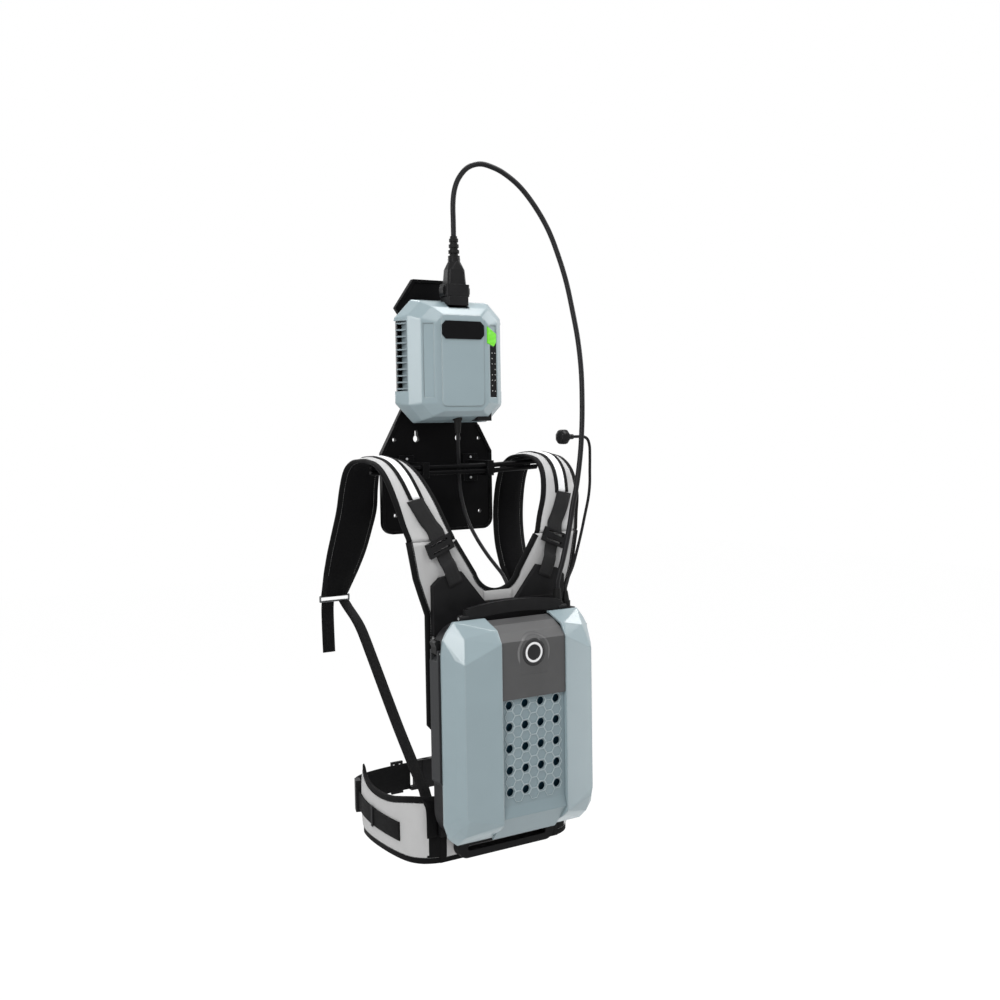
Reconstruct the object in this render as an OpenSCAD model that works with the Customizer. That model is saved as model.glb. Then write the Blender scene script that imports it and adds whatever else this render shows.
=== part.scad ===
// Backpack battery pack in its carrying harness, hung on a holder plate that
// also carries the charger. Millimetres, +Z up, -Y towards the pack's front.
// The origin is the centre of the four fixing holes, on the plate's back face.

/* [Holder plate] */
// Width of the lower, wide part of the plate
plate_w = 221; // [200:1:225]
// Width of the neck behind the charger
plate_neck_w = 132; // [120:1:150]
// Width of the plate where it comes out over the charger
plate_ear_w = 156; // [150:1:180]
// Width of the plate's cut-off top edge
plate_top_w = 86; // [60:1:110]
// Thickness of the plate
plate_t = 8; // [6:0.5:12]
// Depth of the plate below the origin
plate_low = 97; // [85:1:110]
// Height of the plate above the origin
plate_high = 339; // [330:1:350]
// Height of the raised rim on the plate's front
rim_h = 2; // [1:0.5:3]
// Distance between the fixing holes across the plate
bolt_dx = 170; // [120:1:175]
// Distance between the fixing holes up the plate
bolt_dz = 130; // [110:1:135]
// Diameter of a fixing hole
bolt_d = 7; // [5:0.5:9]

/* [Hanger bar] */
// Diameter of each of the two tubes
bar_d = 8.5; // [7:0.5:9]
// Height of the upper tube above the lower one
bar_pitch = 9.5; // [9.5:0.5:11]
// Length of the bar from end to end
bar_l = 330; // [290:2:340]
// Distance from the plate's front to the tubes' axes
bar_reach = 65; // [55:1:67]
// Rise of each end over the middle
bar_rise = 4; // [2:0.5:5]
// Distance between the two brackets
bracket_gap = 128; // [110:2:136]

/* [Charger] */
// Width of the charger
charger_w = 210; // [196:2:220]
// Height of the charger
charger_h = 206; // [196:1:212]
// Depth of the charger from the plate to its front panel
charger_d = 91; // [88:1:96]
// Wall of the charger's shells
charger_wall = 2.5; // [2:0.5:3]
// Number of cooling fins in each side window
fin_count = 11; // [8:1:13]
// Thickness of a cooling fin
fin_t = 2.4; // [1.5:0.1:4]

/* [Battery] */
// Width of the battery's cover
battery_w = 280; // [272:2:288]
// Depth of the front cover
cover_d = 50; // [48:1:52]
// Depth of the rear case behind the cover
case_d = 42; // [40:1:44]
// Wall of the cover and of the rear case
shell_t = 3; // [2:0.5:4]
// Width of the middle panels
panel_w = 120; // [114:1:122]
// Diameter of a hole in the grille
grille_hole_d = 13; // [7:0.5:14]
// Height between two rows of holes in the grille
grille_pitch = 34.2; // [32:0.2:34.6]
// Diameter of the power button
button_d = 24.2; // [20:0.2:26]
// Travel of the power button
button_travel = 1.2; // [0.8:0.1:1.4]
// Diameter of one battery cell
cell_d = 21; // [18:0.5:21.5]

/* [Carrying handle] */
// Distance between the handle's two pivots
handle_span = 184; // [176:2:188]
// Height of the handle's band
band_h = 20; // [14:1:22]
// Thickness of the handle's band
band_t = 8; // [6:0.5:9]
// Diameter of the handle's pivot pins
pivot_d = 5; // [4:0.5:6]

/* [Harness] */
// Thickness of a padded shoulder strap
strap_t = 12; // [8:1:12]
// Thickness of webbing
webbing_t = 2; // [1.5:0.1:2.2]
// Width of the wide webbing
webbing_w = 38; // [30:1:40]
// Width of the belt's webbing
belt_webbing_w = 50; // [38:1:52]
// Width of the narrow webbing
narrow_w = 25; // [20:1:25]
// Thickness of the harness's back panel
back_t = 8; // [6:0.5:8.5]
// Thickness of the back pad
pad_t = 18; // [12:1:24]
// Thickness of the lumbar pad
lumbar_t = 20; // [14:1:26]
// Thickness of a belt wing
wing_t = 12; // [8:1:14]

/* [Cords] */
// Diameter of the charging cord
cord_d = 9; // [7:0.5:9]
// Diameter of the charger's lead
lead_d = 6.5; // [5:0.5:7]
// Diameter of the thin lead with the knob
thin_d = 5; // [4:0.5:5]
// Diameter of the knob on the thin lead
knob_d = 26; // [22:1:28]

/* [Hidden] */

$fn = 48;
hull_fn = 32;
gap = 0.3;      // clearance between pieces of which one is soft or moves
fit = 0.08;     // radial clearance of a pin in its hole

// The pack's own frame: its origin is the middle of the grille, on its face.
pack_reach = 298;   // from the grille's face back to the plate's back face
pack_drop = 415;    // from the origin down to the middle of the grille
module in_pack() { translate([0, -pack_reach, -pack_drop]) children(); }

// The charger's own frame: its origin is the middle of its back face.
charger_up = 196;   // from the origin up to the middle of the charger
module at_charger() { translate([0, -plate_t, charger_up]) children(); }
charger_from_pack = [0, pack_reach - plate_t, pack_drop + charger_up];

// ---- shapes that several pieces share ----

module rounded(w, h, r) {
  square([w - 2*r, h], center = true);
  square([w, h - 2*r], center = true);
  for (x = [-1, 1], z = [-1, 1])
    translate([x*(w/2 - r), z*(h/2 - r)]) circle(r);
}

// A rectangle whose corners are cut off at 45 degrees and then softened.
module bevelled(w, h, cut, r) {
  x = w/2 - r;
  z = h/2 - r;
  offset(r = r, $fn = 16) polygon([[x - cut, z], [x, z - cut], [x, cut - z], [x - cut, -z],
    [cut - x, -z], [-x, cut - z], [-x, z - cut], [cut - x, z]]);
}

// A flat piece drawn in X and Z, from y0 on, t thick towards +Y.
module slab(y0, t) { translate([0, y0 + t, 0]) rotate([90, 0, 0]) linear_extrude(t) children(); }

module rounded_slab(y0, t, w, low, high, r) {
  slab(y0, t) translate([0, (low + high)/2]) rounded(w, high - low, r);
}

module bevelled_slab(y0, t, w, low, high, cut, r) {
  slab(y0, t) translate([0, (low + high)/2]) bevelled(w, high - low, cut, r);
}

// A box given by its low and high corners.
module block(low, high) { translate(low) cube(high - low); }

module along_x(x0, l, d) { translate([x0, 0, 0]) rotate([0, 90, 0]) cylinder(h = l, d = d); }
module along_y(y0, l, d) { translate([0, y0, 0]) rotate([-90, 0, 0]) cylinder(h = l, d = d); }

module both_sides() { children(); mirror([1, 0, 0]) children(); }

function unit(v) = v/norm(v);
function flat(lists) = [for (l = lists) each l];
function run(p, i) = unit(p[min(i + 1, len(p) - 1)] - p[max(i - 1, 0)]);

// A smooth line through the points p, with n steps from each to the next.
function between(a, b, c, d, t) = 0.5*(2*b + (c - a)*t + (2*a - 5*b + 4*c - d)*t*t
  + (3*b - 3*c + d - a)*t*t*t);
function smooth(p, n) = concat([for (i = [0 : len(p) - 2], k = [0 : n - 1])
    between(p[max(i - 1, 0)], p[i], p[i + 1], p[min(i + 2, len(p) - 1)], k/n)],
  [p[len(p) - 1]]);

// A closed skin over rings that all have the same number of points.
module skin(rings) {
  n = len(rings[0]);
  last = (len(rings) - 1)*n;
  polyhedron(points = flat(rings), faces = concat(
    [for (r = [0 : len(rings) - 2], i = [0 : n - 1]) let (a = r*n, j = (i + 1) % n)
      each [[a + i, a + n + i, a + n + j], [a + i, a + n + j, a + j]]],
    [for (i = [1 : n - 2]) [0, i, i + 1]],
    [for (i = [1 : n - 2]) [last, last + i + 1, last + i]]));
}

// A band swept along p, which keeps its width along the direction across. Its
// outline is given in shares of half the width w and half the thickness t.
function face_of(p, i, across) =
  let (d = run(p, i)) cross(unit(d - across*(d*across)), across);
module band(p, w, t, across, outline) {
  side = unit(across);
  skin([for (i = [0 : len(p) - 1]) let (up = face_of(p, i, side))
    [for (q = outline) p[i] + side*q[0]*w[i]/2 + up*q[1]*t[i]/2]]);
}
tape_outline = [[1, 1], [-1, 1], [-1, -1], [1, -1]];
module tape(p, w, across) {
  band(p, [for (q = p) w], [for (q = p) webbing_t], across, tape_outline);
}

// The section of a padded piece: flat in the middle, drawn in to its bound edge.
pad_power = 0.45;
function pad_outline(n) = [for (i = [0 : n - 1]) let (a = 360*i/n)
  [sign(cos(a))*pow(abs(cos(a)), pad_power), sin(a)]];

// A round cord through the points of a route, whose two ends run straight.
function with_ends(p, n) =
  concat([p[0]], smooth([for (i = [1 : len(p) - 2]) p[i]], n), [p[len(p) - 1]]);
function cord_ring(c, dir, across, d, sides) =
  let (side = unit(across - dir*(across*dir)), up = cross(dir, side))
  [for (i = [0 : sides - 1]) c + (side*cos(360*i/sides) + up*sin(360*i/sides))*d/2];
module cord(route, d, sides, across) {
  p = with_ends(route, 2);
  skin([for (i = [0 : len(p) - 1]) cord_ring(p[i], run(p, i), across, d, sides)]);
}

// ---- holder plate ----

plate_shoulder = 42;    // where the wide part ends
plate_neck_low = 122;   // where the neck starts
plate_neck_high = 272;  // where the neck ends
plate_ear = 289;        // where the plate comes out over the charger
plate_corner_r = 20;
rim_w = 5;
keyhole_x = 42;
keyhole_z = 66;
keyhole_d = 12;
keyhole_slot = 6;

module plate_outline() {
  corner_x = plate_w/2 - plate_corner_r;
  corner_z = -plate_low + plate_corner_r;
  polygon([[-plate_w/2, corner_z], [-plate_w/2, plate_shoulder],
    [-plate_neck_w/2, plate_neck_low], [-plate_neck_w/2, plate_neck_high],
    [-plate_ear_w/2, plate_ear], [-plate_top_w/2, plate_high],
    [plate_top_w/2, plate_high], [plate_ear_w/2, plate_ear],
    [plate_neck_w/2, plate_neck_high], [plate_neck_w/2, plate_neck_low],
    [plate_w/2, plate_shoulder], [plate_w/2, corner_z]]);
  translate([-corner_x, -plate_low]) square([2*corner_x, plate_corner_r]);
  for (s = [-1, 1]) translate([s*corner_x, corner_z]) circle(plate_corner_r);
}

module keyhole() {
  circle(d = keyhole_d);
  translate([-keyhole_slot/2, 0]) square([keyhole_slot, keyhole_d]);
  translate([0, keyhole_d]) circle(d = keyhole_slot);
}

module holder_plate() {
  color([0.05, 0.05, 0.055]) {
    difference() {
      slab(-plate_t, plate_t) plate_outline();
      for (x = [-1, 1], z = [-1, 1]) translate([x*bolt_dx/2, 0, z*bolt_dz/2])
        along_y(-plate_t - 1, plate_t + 2, bolt_d);
      both_sides() slab(-plate_t - 1, plate_t + 2)
        translate([keyhole_x, keyhole_z]) keyhole();
      plate_screw_places() along_y(-plate_t - 1, plate_t + 2, screw_d + 2*fit);
      plate_screw_places() along_y(-screw_head_h, screw_head_h + 1, screw_head_d + 2*fit);
    }
    slab(-plate_t - rim_h, rim_h) difference() {
      plate_outline();
      offset(delta = -rim_w) plate_outline();
      translate([-plate_w/2, charger_up - charger_h/2 - 4])
        square([plate_w, charger_h + 8]);
    }
  }
}

// Screws from the back: two into each bar bracket and four into the charger.
screw_d = 4.2;
screw_head_d = 9;
screw_head_h = 3;
screw_l = 14;
charger_screw_x = charger_w/2 - 50;
charger_screw_z = 70;
module plate_screw_places() {
  for (x = [-1, 1], z = [-1, 1]) {
    translate([x*bracket_gap/2, 0, bracket_mid + z*bracket_screw_z]) children();
    translate([x*charger_screw_x, 0, charger_up + z*charger_screw_z]) children();
  }
}
module plate_screws() {
  color([0.6, 0.6, 0.62]) plate_screw_places() difference() {
    union() {
      along_y(-screw_l, screw_l - 1, screw_d);
      along_y(-screw_head_h + 0.1, screw_head_h - 0.3, screw_head_d);
    }
    along_y(-1.6, 2, 3);
  }
}

// ---- hanger bar ----

bar_up = 18.5;          // height of the upper tube's middle above the origin
bar_bend = 73;          // where each end starts to rise
bend_ring_l = 5;
bend_ring_d = bar_d + 0.9;
bar_y = -plate_t - bar_reach;
bracket_mid = bar_up - bar_pitch/2;
bracket_w = 12;
bracket_h = 26;
bracket_foot_w = 28;
bracket_foot_h = 48;
bracket_foot_t = 5;
bracket_screw_z = 18;

// Three rods, joined inside a ring at each bend.
module bar_tube() {
  rise_run = bar_l/2 - bar_bend;
  tilt = atan(bar_rise/rise_run);
  along_x(-bar_bend, 2*bar_bend, bar_d);
  both_sides() translate([bar_bend, 0, 0]) {
    along_x(-bend_ring_l/2, bend_ring_l, bend_ring_d);
    rotate([0, -tilt, 0]) {
      along_x(0, rise_run - 1.5, bar_d);
      translate([rise_run - 1.5, 0, 0]) rotate([0, 90, 0])
        cylinder(h = 1.5, d1 = bar_d, d2 = bar_d - 3);
    }
  }
}
module hanger_bar() {
  color([0.07, 0.07, 0.07]) for (k = [0, 1])
    translate([0, bar_y, bar_up - k*bar_pitch]) bar_tube();
}

module bar_brackets() {
  color([0.06, 0.06, 0.06]) both_sides() translate([bracket_gap/2, 0, bracket_mid])
    difference() {
      union() {
        block([-bracket_w/2, bar_y - bar_d/2 - 3, -bracket_h/2],
          [bracket_w/2, -plate_t, bracket_h/2]);
        block([-bracket_foot_w/2, -plate_t - bracket_foot_t, -bracket_foot_h/2],
          [bracket_foot_w/2, -plate_t, bracket_foot_h/2]);
      }
      for (k = [-1, 1]) translate([0, bar_y, k*bar_pitch/2])
        along_x(-bracket_w, 2*bracket_w, bar_d + 2*fit);
      translate([0, (bar_y - plate_t)/2 + 8, 0])
        cube([bracket_w + 2, bar_reach - 32, bracket_h - 12], center = true);
      for (k = [-1, 1]) translate([0, 0, k*bracket_screw_z])
        along_y(-screw_l - 1, screw_l + 2, screw_d + 2*fit);
    }
}

// ---- charger, in its own frame ----

parting_y = -44;        // where the front and rear shells meet
panel_y = -charger_d;   // face of the shell behind the raised panel
charger_panel_w = charger_w - 128;
charger_panel_h = 152;
panel_raise = 1.5;
slope_x = charger_w/2 - 42; // middle of the sloped face beside the panel
slope_y = -charger_d + 4.5;
slope_turn = 20.6;
slope_w = 18;
strip_depth = 1.4;
groove_depth = 1.5;
window_low = -50;
window_high = 66;
window_x = charger_w/2 - 17;
window_y = -64;         // front edge of the side windows
plug_y = -67;           // where the plug stands, in front of the plate
socket_w = 40;
socket_d = 30;
lead_out_y = -70;

// The charger's faceted form, drawn in by inset on every side.
charger_top = charger_h/2;
module charger_form(inset) {
  hull() {
    bevelled_slab(panel_y + inset, 0.5, charger_w - 108 - 2*inset, 19 - charger_top + inset,
      charger_top - 27 - inset, 10, 6);
    bevelled_slab(panel_y + 9 + inset, 0.5, charger_w - 60 - 2*inset, 10 - charger_top + inset,
      charger_top - 14 - inset, 18, 5);
    bevelled_slab(-66 + inset/2, 0.5, charger_w - 28 - 2*inset, 4 - charger_top + inset,
      charger_top - 4 - inset, 22, 5);
    bevelled_slab(parting_y - 2, 2 + (inset > 0 ? 1 : 0), charger_w - 2*inset,
      inset - charger_top, charger_top - inset, 30, 5);
  }
}

module charger_windows(side_clear) {
  both_sides() block([window_x - side_clear, window_y - side_clear, window_low - side_clear],
    [charger_w, parting_y + 5, window_high + side_clear]);
}

// Places something on the sloped face at the side given by 1 or -1.
module on_slope(side) {
  translate([side*slope_x, slope_y, 0]) rotate([0, 0, side*slope_turn]) children();
}

lens_low = 25;
lens_high = 59;
strip_low = -61;
module lens_outline(inset) {
  offset(delta = -inset) polygon([[-slope_w/2 - 6.5, lens_low + 5], [-slope_w/2 - 6.5, lens_high],
    [slope_w/2, lens_high - 12], [slope_w/2, lens_low + 8], [2, lens_low]]);
}

module charger_front_shell() {
  color([0.56, 0.63, 0.65]) difference() {
    union() {
      difference() {
        charger_form(0);
        charger_form(charger_wall);
        charger_windows(0);
      }
      intersection() {
        difference() {
          charger_windows(charger_wall);
          charger_windows(0);
        }
        charger_form(0.1);
      }
      slab(panel_y - panel_raise, panel_raise) rounded(charger_panel_w, charger_panel_h, 8);
    }
    block([-charger_w, parting_y, -charger_h], [charger_w, 0, charger_h]);
    // grooves beside the panel, deeper on the sloped faces
    for (s = [-1, 1]) on_slope(s)
      block([-slope_w/2, -3, strip_low], [slope_w/2, groove_depth, lens_high + 2]);
    on_slope(1) slab(-3, 3 + groove_depth) lens_outline(0);
    // openings for the socket and for the lead's outlet
    translate([0, plug_y, 80]) linear_extrude(charger_h)
      square([socket_w + 2*gap, socket_d + 2*gap], center = true);
    translate([0, lead_out_y, -charger_h]) cylinder(h = charger_h - 70, d = outlet_d + 2*fit);
    translate([inlet_x, lead_out_y, -charger_h]) linear_extrude(charger_h - 70)
      square([inlet_w + 2*gap, inlet_d + 2*gap], center = true);
  }
}

module rear_form(inset) {
  more = inset > 0 ? 1 : 0;
  hull() {
    bevelled_slab(parting_y - more, 4 + more, charger_w - 10 - 2*inset,
      3 - charger_top + inset, charger_top - 3 - inset, 21, 14);
    bevelled_slab(-0.5 - inset, 0.5, charger_w - 58 - 2*inset, 8 - charger_top + inset,
      charger_top - 8 - inset, 18, 14);
  }
}
module charger_rear_shell() {
  color([0.16, 0.17, 0.18]) difference() {
    union() {
      difference() {
        rear_form(0);
        rear_form(charger_wall);
      }
      for (x = [-1, 1], z = [-1, 1]) translate([x*(charger_w/2 - 39), 0, z*58])
        along_y(board_y + 1.6 + gap, -board_y - 1.6 - gap - 1, 8);
    }
    for (x = [-1, 1], z = [-1, 1])
      translate([x*charger_screw_x, 0, z*charger_screw_z])
        along_y(-charger_wall - 1, charger_wall + 2, screw_d + 2*fit);
  }
}

module charger_fins() {
  fin_x = window_x + gap;
  pitch = (window_high - window_low - 8)/(fin_count - 1);
  color([0.45, 0.5, 0.52]) both_sides() {
    block([fin_x, window_y + gap, window_low + gap],
      [fin_x + 2, parting_y - gap, window_high - gap]);
    for (k = [0 : fin_count - 1]) translate([0, 0, window_low + 4 + k*pitch - fin_t/2])
      linear_extrude(fin_t) polygon([[fin_x, window_y + gap], [fin_x + 2.5, window_y + gap],
        [fin_x + 14, parting_y - gap], [fin_x, parting_y - gap]]);
  }
}

badge_w = charger_panel_w;
badge_low = 36;
badge_high = 66;
badge_cut = 7;
module charger_badge() {
  color([0.03, 0.03, 0.03]) slab(panel_y - panel_raise - 1.5, 1.5) difference() {
    translate([-badge_w/2, badge_low]) square([badge_w, badge_high - badge_low]);
    for (x = [-1, 1], z = [badge_low, badge_high])
      translate([x*badge_w/2, z]) rotate(45) square(badge_cut*sqrt(2), center = true);
  }
}

module charger_lamp_lens() {
  color([0.47, 0.9, 0.17]) on_slope(1) slab(-0.4, strip_depth + 0.4) lens_outline(gap);
}

module charger_display_strip() {
  color([0.02, 0.02, 0.02]) on_slope(1) slab(0, strip_depth) difference() {
    translate([-slope_w/2 + gap, strip_low + gap])
      square([slope_w - 2*gap, lens_low - strip_low + 8]);
    lens_outline(-1);
  }
}

board_y = -32;
module charger_board() {
  color([0.1, 0.35, 0.2]) {
    rounded_slab(board_y, 1.6, charger_w - 62, -76, 76, 4);
    for (k = [0 : 3]) translate([-60 + k*16, 0, -58]) along_y(board_y - 24, 24, 12);
    block([-70, board_y - 5, 20], [-30, board_y, 55]);
  }
}
module charger_transformer() {
  color([0.35, 0.3, 0.22]) {
    block([-5, board_y - 34, -40], [45, board_y - gap/3, 10]);
    block([0, board_y - 38, -46], [40, board_y - 4, 16]);
  }
}

// The socket on the charger's top, which takes the plug's lower part.
plug_w = 30;
plug_d = 22;
plug_base = charger_top - 7;    // the plug's lower end
socket_low = charger_top - 10;
socket_high = charger_top + 5;
module charger_socket() {
  color([0.06, 0.06, 0.06]) translate([0, plug_y, 0]) difference() {
    translate([0, 0, socket_low]) linear_extrude(socket_high - socket_low)
      rounded(socket_w, socket_d, 4);
    translate([0, 0, plug_base - gap]) linear_extrude(charger_h)
      square([plug_w + 2*gap, plug_d + 2*gap], center = true);
  }
}

inlet_x = 48;
inlet_w = 28;
inlet_d = 20;
module mains_inlet() {
  color([0.06, 0.06, 0.06]) translate([inlet_x, lead_out_y, 0]) difference() {
    translate([0, 0, 2 - charger_top]) linear_extrude(22)
      square([inlet_w, inlet_d], center = true);
    translate([0, 0, 1 - charger_top]) linear_extrude(19)
      square([inlet_w - 6, inlet_d - 6], center = true);
  }
}

outlet_d = 16;
outlet_drop = 18;
module lead_outlet() {
  color([0.05, 0.05, 0.05]) translate([0, lead_out_y, 0]) {
    translate([0, 0, 3 - charger_top]) cylinder(h = 14, d = outlet_d);
    translate([0, 0, -charger_top - outlet_drop])
      cylinder(h = outlet_drop + 3.1, d1 = lead_d + 3, d2 = 13);
  }
}

// ---- plug on the charging cord, in the charger's frame ----

collar_w = 46;
collar_d = 28;
collar_low = socket_high + gap;
collar_high = collar_low + 20;
plug_top = collar_high + 43;
boot_high = plug_top + 38;
latch_z = collar_high - 2.5;    // height of the latches' pivots
latch_pin_x = 21.2;
module charge_plug() {
  color([0.08, 0.08, 0.08]) translate([0, plug_y, 0]) difference() {
    union() {
      translate([0, 0, plug_base]) linear_extrude(collar_low - plug_base + 1)
        square([plug_w, plug_d], center = true);
      translate([0, 0, collar_low]) linear_extrude(collar_high - collar_low)
        rounded(collar_w, collar_d, 5);
      hull() {
        $fn = hull_fn;
        translate([0, 0, collar_high - 0.5]) linear_extrude(0.5) rounded(36, 26, 6);
        translate([0, 0, collar_high + 24]) linear_extrude(0.5) rounded(32, 25, 7);
        translate([0, 0, plug_top - 6]) linear_extrude(0.5) circle(11);
      }
      translate([0, 0, plug_top - 6]) cylinder(h = 6, d = 21);
    }
    both_sides() block([17.4, -latch_w/2 - gap, collar_low - 1],
      [30, latch_w/2 + gap, collar_high + 5]);
    both_sides() translate([latch_pin_x, 0, latch_z])
      along_y(-latch_w/2 - 3, latch_w + 6, 3 + 2*fit);
  }
}

latch_w = 13;
latch_in = 20;          // inner face of a latch
module plug_latch() {
  translate([0, plug_y, 0]) {
    block([latch_in, -latch_w/2, collar_low + 0.4], [23.4, latch_w/2, collar_high + 0.7]);
    translate([23.4, latch_w/2, collar_low]) rotate([90, 0, 0]) linear_extrude(latch_w)
      polygon([[-0.1, 1], [3, 5], [3, 14], [-0.1, 18]]);
    translate([latch_pin_x, 0, latch_z]) along_y(-latch_w/2 - 2.6, latch_w + 5.2, 3);
  }
}
module plug_latch_right() { color([0.1, 0.1, 0.1]) plug_latch(); }
module plug_latch_left() { color([0.1, 0.1, 0.1]) mirror([1, 0, 0]) plug_latch(); }

boot_ribs = 4;
module plug_boot() {
  rib_pitch = (boot_high - plug_top)/boot_ribs;
  color([0.07, 0.07, 0.07]) translate([0, plug_y, 0]) {
    translate([0, 0, plug_top]) cylinder(h = boot_high - plug_top, d1 = 15, d2 = 12);
    for (k = [0 : boot_ribs - 1]) translate([0, 0, plug_top + k*rib_pitch])
      cylinder(h = 0.55*rib_pitch, d = 20 - 1.5*k);
  }
}

// ---- cords, in the pack's frame ----

cord_start = [98, 73, 232];
cord_end = charger_from_pack + [0, plug_y, boot_high];
cord_route = [cord_start, [98, 73, 242], [103, 73, 258], [110, 73, 277], [123, 74, 322],
  [135, 77, 368], [145, 79, 402], [158, 86, 449], [168, 94, 495], [176, 103, 543],
  [182, 113, 594], [184, 124, 645], [182, 135, 693], [177, 146, 745], [168, 157, 792],
  [156, 168, 835], [138, 180, 874], [115, 191, 907], [91, 202, 929], [70, 210, 940],
  [50, 216, 944], [29, 220, 937], [13, 222, 920], [4, 223, 900], [0, 223, 875],
  [0, 223, 846], cord_end];
module charge_cord() {
  color([0.05, 0.05, 0.05]) in_pack() cord(cord_route, cord_d, 8, [0, 1, 0]);
}

gland_low = 200;        // top of the rear case's boss, which carries the glands
thin_start = [116, 74, 226];
module gland(place, d, d_top) {
  translate([place[0], place[1], gland_low]) {
    cylinder(h = 10, d = d + 10);
    translate([0, 0, 10]) cylinder(h = place[2] - gland_low - 10, d1 = d + 7, d2 = d_top);
  }
}
module cord_gland() {
  color([0.06, 0.06, 0.06]) in_pack() {
    gland(cord_start, cord_d, cord_d + 3);
    gland(thin_start, thin_d, thin_d + 2);
  }
}

knob_end = [158, 106, 481];
thin_route = [thin_start, [116, 74, 234], [123, 77, 246], [138, 83, 265], [151, 88, 291],
  [164, 93, 320], [174, 96, 348], [183, 98, 376], [188, 100, 400], [190, 102, 424],
  [192, 104, 450], [192, 105, 466], [188, 106, 477], [178, 106, 481], [168, 106, 481],
  knob_end];
module accessory_lead() {
  color([0.05, 0.05, 0.05]) in_pack() cord(thin_route, thin_d, 8, [0, 1, 0]);
}
module lead_knob() {
  color([0.09, 0.09, 0.09]) in_pack() translate(knob_end) rotate([0, -90, 0]) {
    cylinder(h = 12, d1 = thin_d + 3, d2 = 12);
    translate([0, 0, 8 + knob_d/2]) sphere(d = knob_d, $fn = 10);
  }
}

lead_end = [34, 121, 222];
lead_route = [charger_from_pack + [0, lead_out_y, -charger_top - outlet_drop], [0, 220, 482],
  [2, 223.5, 466], [7, 231, 448], [11.5, 238, 429], [14, 241.5, 408], [15, 239.5, 388],
  [17, 233, 362], [20, 221, 335], [24, 202, 309], [28, 178, 285], [31, 156, 267.5],
  [33, 137.5, 253.5], [34, 125, 237.5], [34, 121, 226], lead_end];
module charger_lead() {
  color([0.04, 0.04, 0.04]) in_pack() cord(lead_route, lead_d, 8, [1, 0, 0]);
}
module lead_inlet() {
  color([0.06, 0.06, 0.06]) in_pack() {
    translate([lead_end[0], lead_end[1], 0]) {
      translate([0, 0, 212]) cylinder(h = lead_end[2] - 212, d1 = 15, d2 = lead_d + 3);
      translate([-11, pad_front - lead_end[1] + gap, 196]) cube([22, 18, 16]);
    }
  }
}

// ---- battery ----

cover_top = 201;
cover_low = -150;
case_top = 196;
well_x = 80;            // half the width of the hand well behind the cover
well_floor = 172;
panel_break = 168;      // where the control panel turns back over the top
panel_split = 77.8;     // where the grille panel meets the control panel
chin_z = -90;           // lower end of the flat grille, over the chin

// The battery cover's form, drawn in by inset on every side: facets between four
// outlines, each given by its right half from the underside up.
module cover_level(y0, t, inset, half) {
  slab(y0, t) offset(delta = -inset)
    polygon(concat(half, [for (i = [len(half) - 1 : -1 : 0]) [-half[i][0], half[i][1]]]));
}
module cover_form(inset) {
  w = battery_w/2;
  hull() {
    cover_level(-2 + inset, 0.5, inset, [[w - 79, -116], [w - 79, 167]]);
    cover_level(10.5 + 0.8*inset, 0.5, inset, [[w - 72, -127], [w - 24, -104], [w - 20, -90],
      [w - 20, 139], [w - 73, 187]]);
    cover_level(24 + 0.4*inset, 0.5, inset, [[w - 24, -132], [w - 14, -118], [w - 11, -102],
      [w - 11, 146], [w - 28, 177]]);
    cover_level(46, cover_d - 46 + (inset > 0 ? 1 : 0), inset, [[w - 22, cover_low],
      [w - 8, cover_low + 12], [w, cover_low + 36], [w, 152], [w - 3, 174], [w - 10, 186],
      [w - 22, cover_top]]);
  }
}

// The middle panels' run from the underside over the front to the top, as a
// line in Y and Z, moved in by the given depth.
grille_y = 4.5;         // the grille lies this far behind the panel over it
chin_line = [[36.3, -147.1], [34, -149], [0, -108], [grille_y, chin_z], [grille_y, panel_split], [grille_y + shell_t, panel_split], [grille_y + shell_t, -112.4]];
brow_line = [[0, panel_split], [0, panel_break], [12, 181], [30, 191], [cover_d, 196.5],
  [cover_d, 196.5 - shell_t], [30, 191 - shell_t], [12 + shell_t/2, 181 - shell_t],
  [shell_t, panel_break - shell_t/3], [shell_t, panel_split + shell_t],
  [grille_y + shell_t, panel_split + shell_t], [grille_y + shell_t, panel_split]];
module panel_strip(line, w) {
  translate([-w/2, 0, 0]) rotate([90, 0, 90]) linear_extrude(w) polygon(line);
}

module battery_front_cover() {
  side = panel_w/2 + gap;
  color([0.54, 0.6, 0.62]) in_pack() union() {
    difference() {
      cover_form(0);
      cover_form(shell_t);
      block([-side, -10, cover_low - 10], [side, 36, -108]);
      block([-side, -10, -109], [side, 3, 170]);
      block([-side, -10, 165], [side, cover_d + 1, cover_top + 10]);
    }
    // cheeks beside the grille and the chin
    intersection() {
      cover_form(0.05);
      both_sides() translate([side, 0, 0]) rotate([90, 0, 90]) linear_extrude(shell_t)
        polygon([[-4, panel_split], [grille_y + shell_t, panel_split],
          [grille_y + shell_t, -113], [37, -146], [37, -160], [-4, -160]]);
    }
  }
}

hex_depth = 0.6;
hex_d = 17.4;
hex_step_x = grille_pitch*sqrt(3)/4;
module grille_places() {
  for (x = [-1.5 : 1 : 1.5], z = [-2 : 2])
    translate([x*2*hex_step_x, grille_y, z*grille_pitch]) children();
}
module grille_panel() {
  color([0.52, 0.59, 0.61]) in_pack() difference() {
    panel_strip(chin_line, panel_w);
    grille_places() along_y(-1, shell_t + 2, grille_hole_d);
    grille_places() rotate([90, 0, 0]) translate([0, 0, -hex_depth])
      cylinder(h = 2, d = hex_d, $fn = 6);
  }
}

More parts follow.
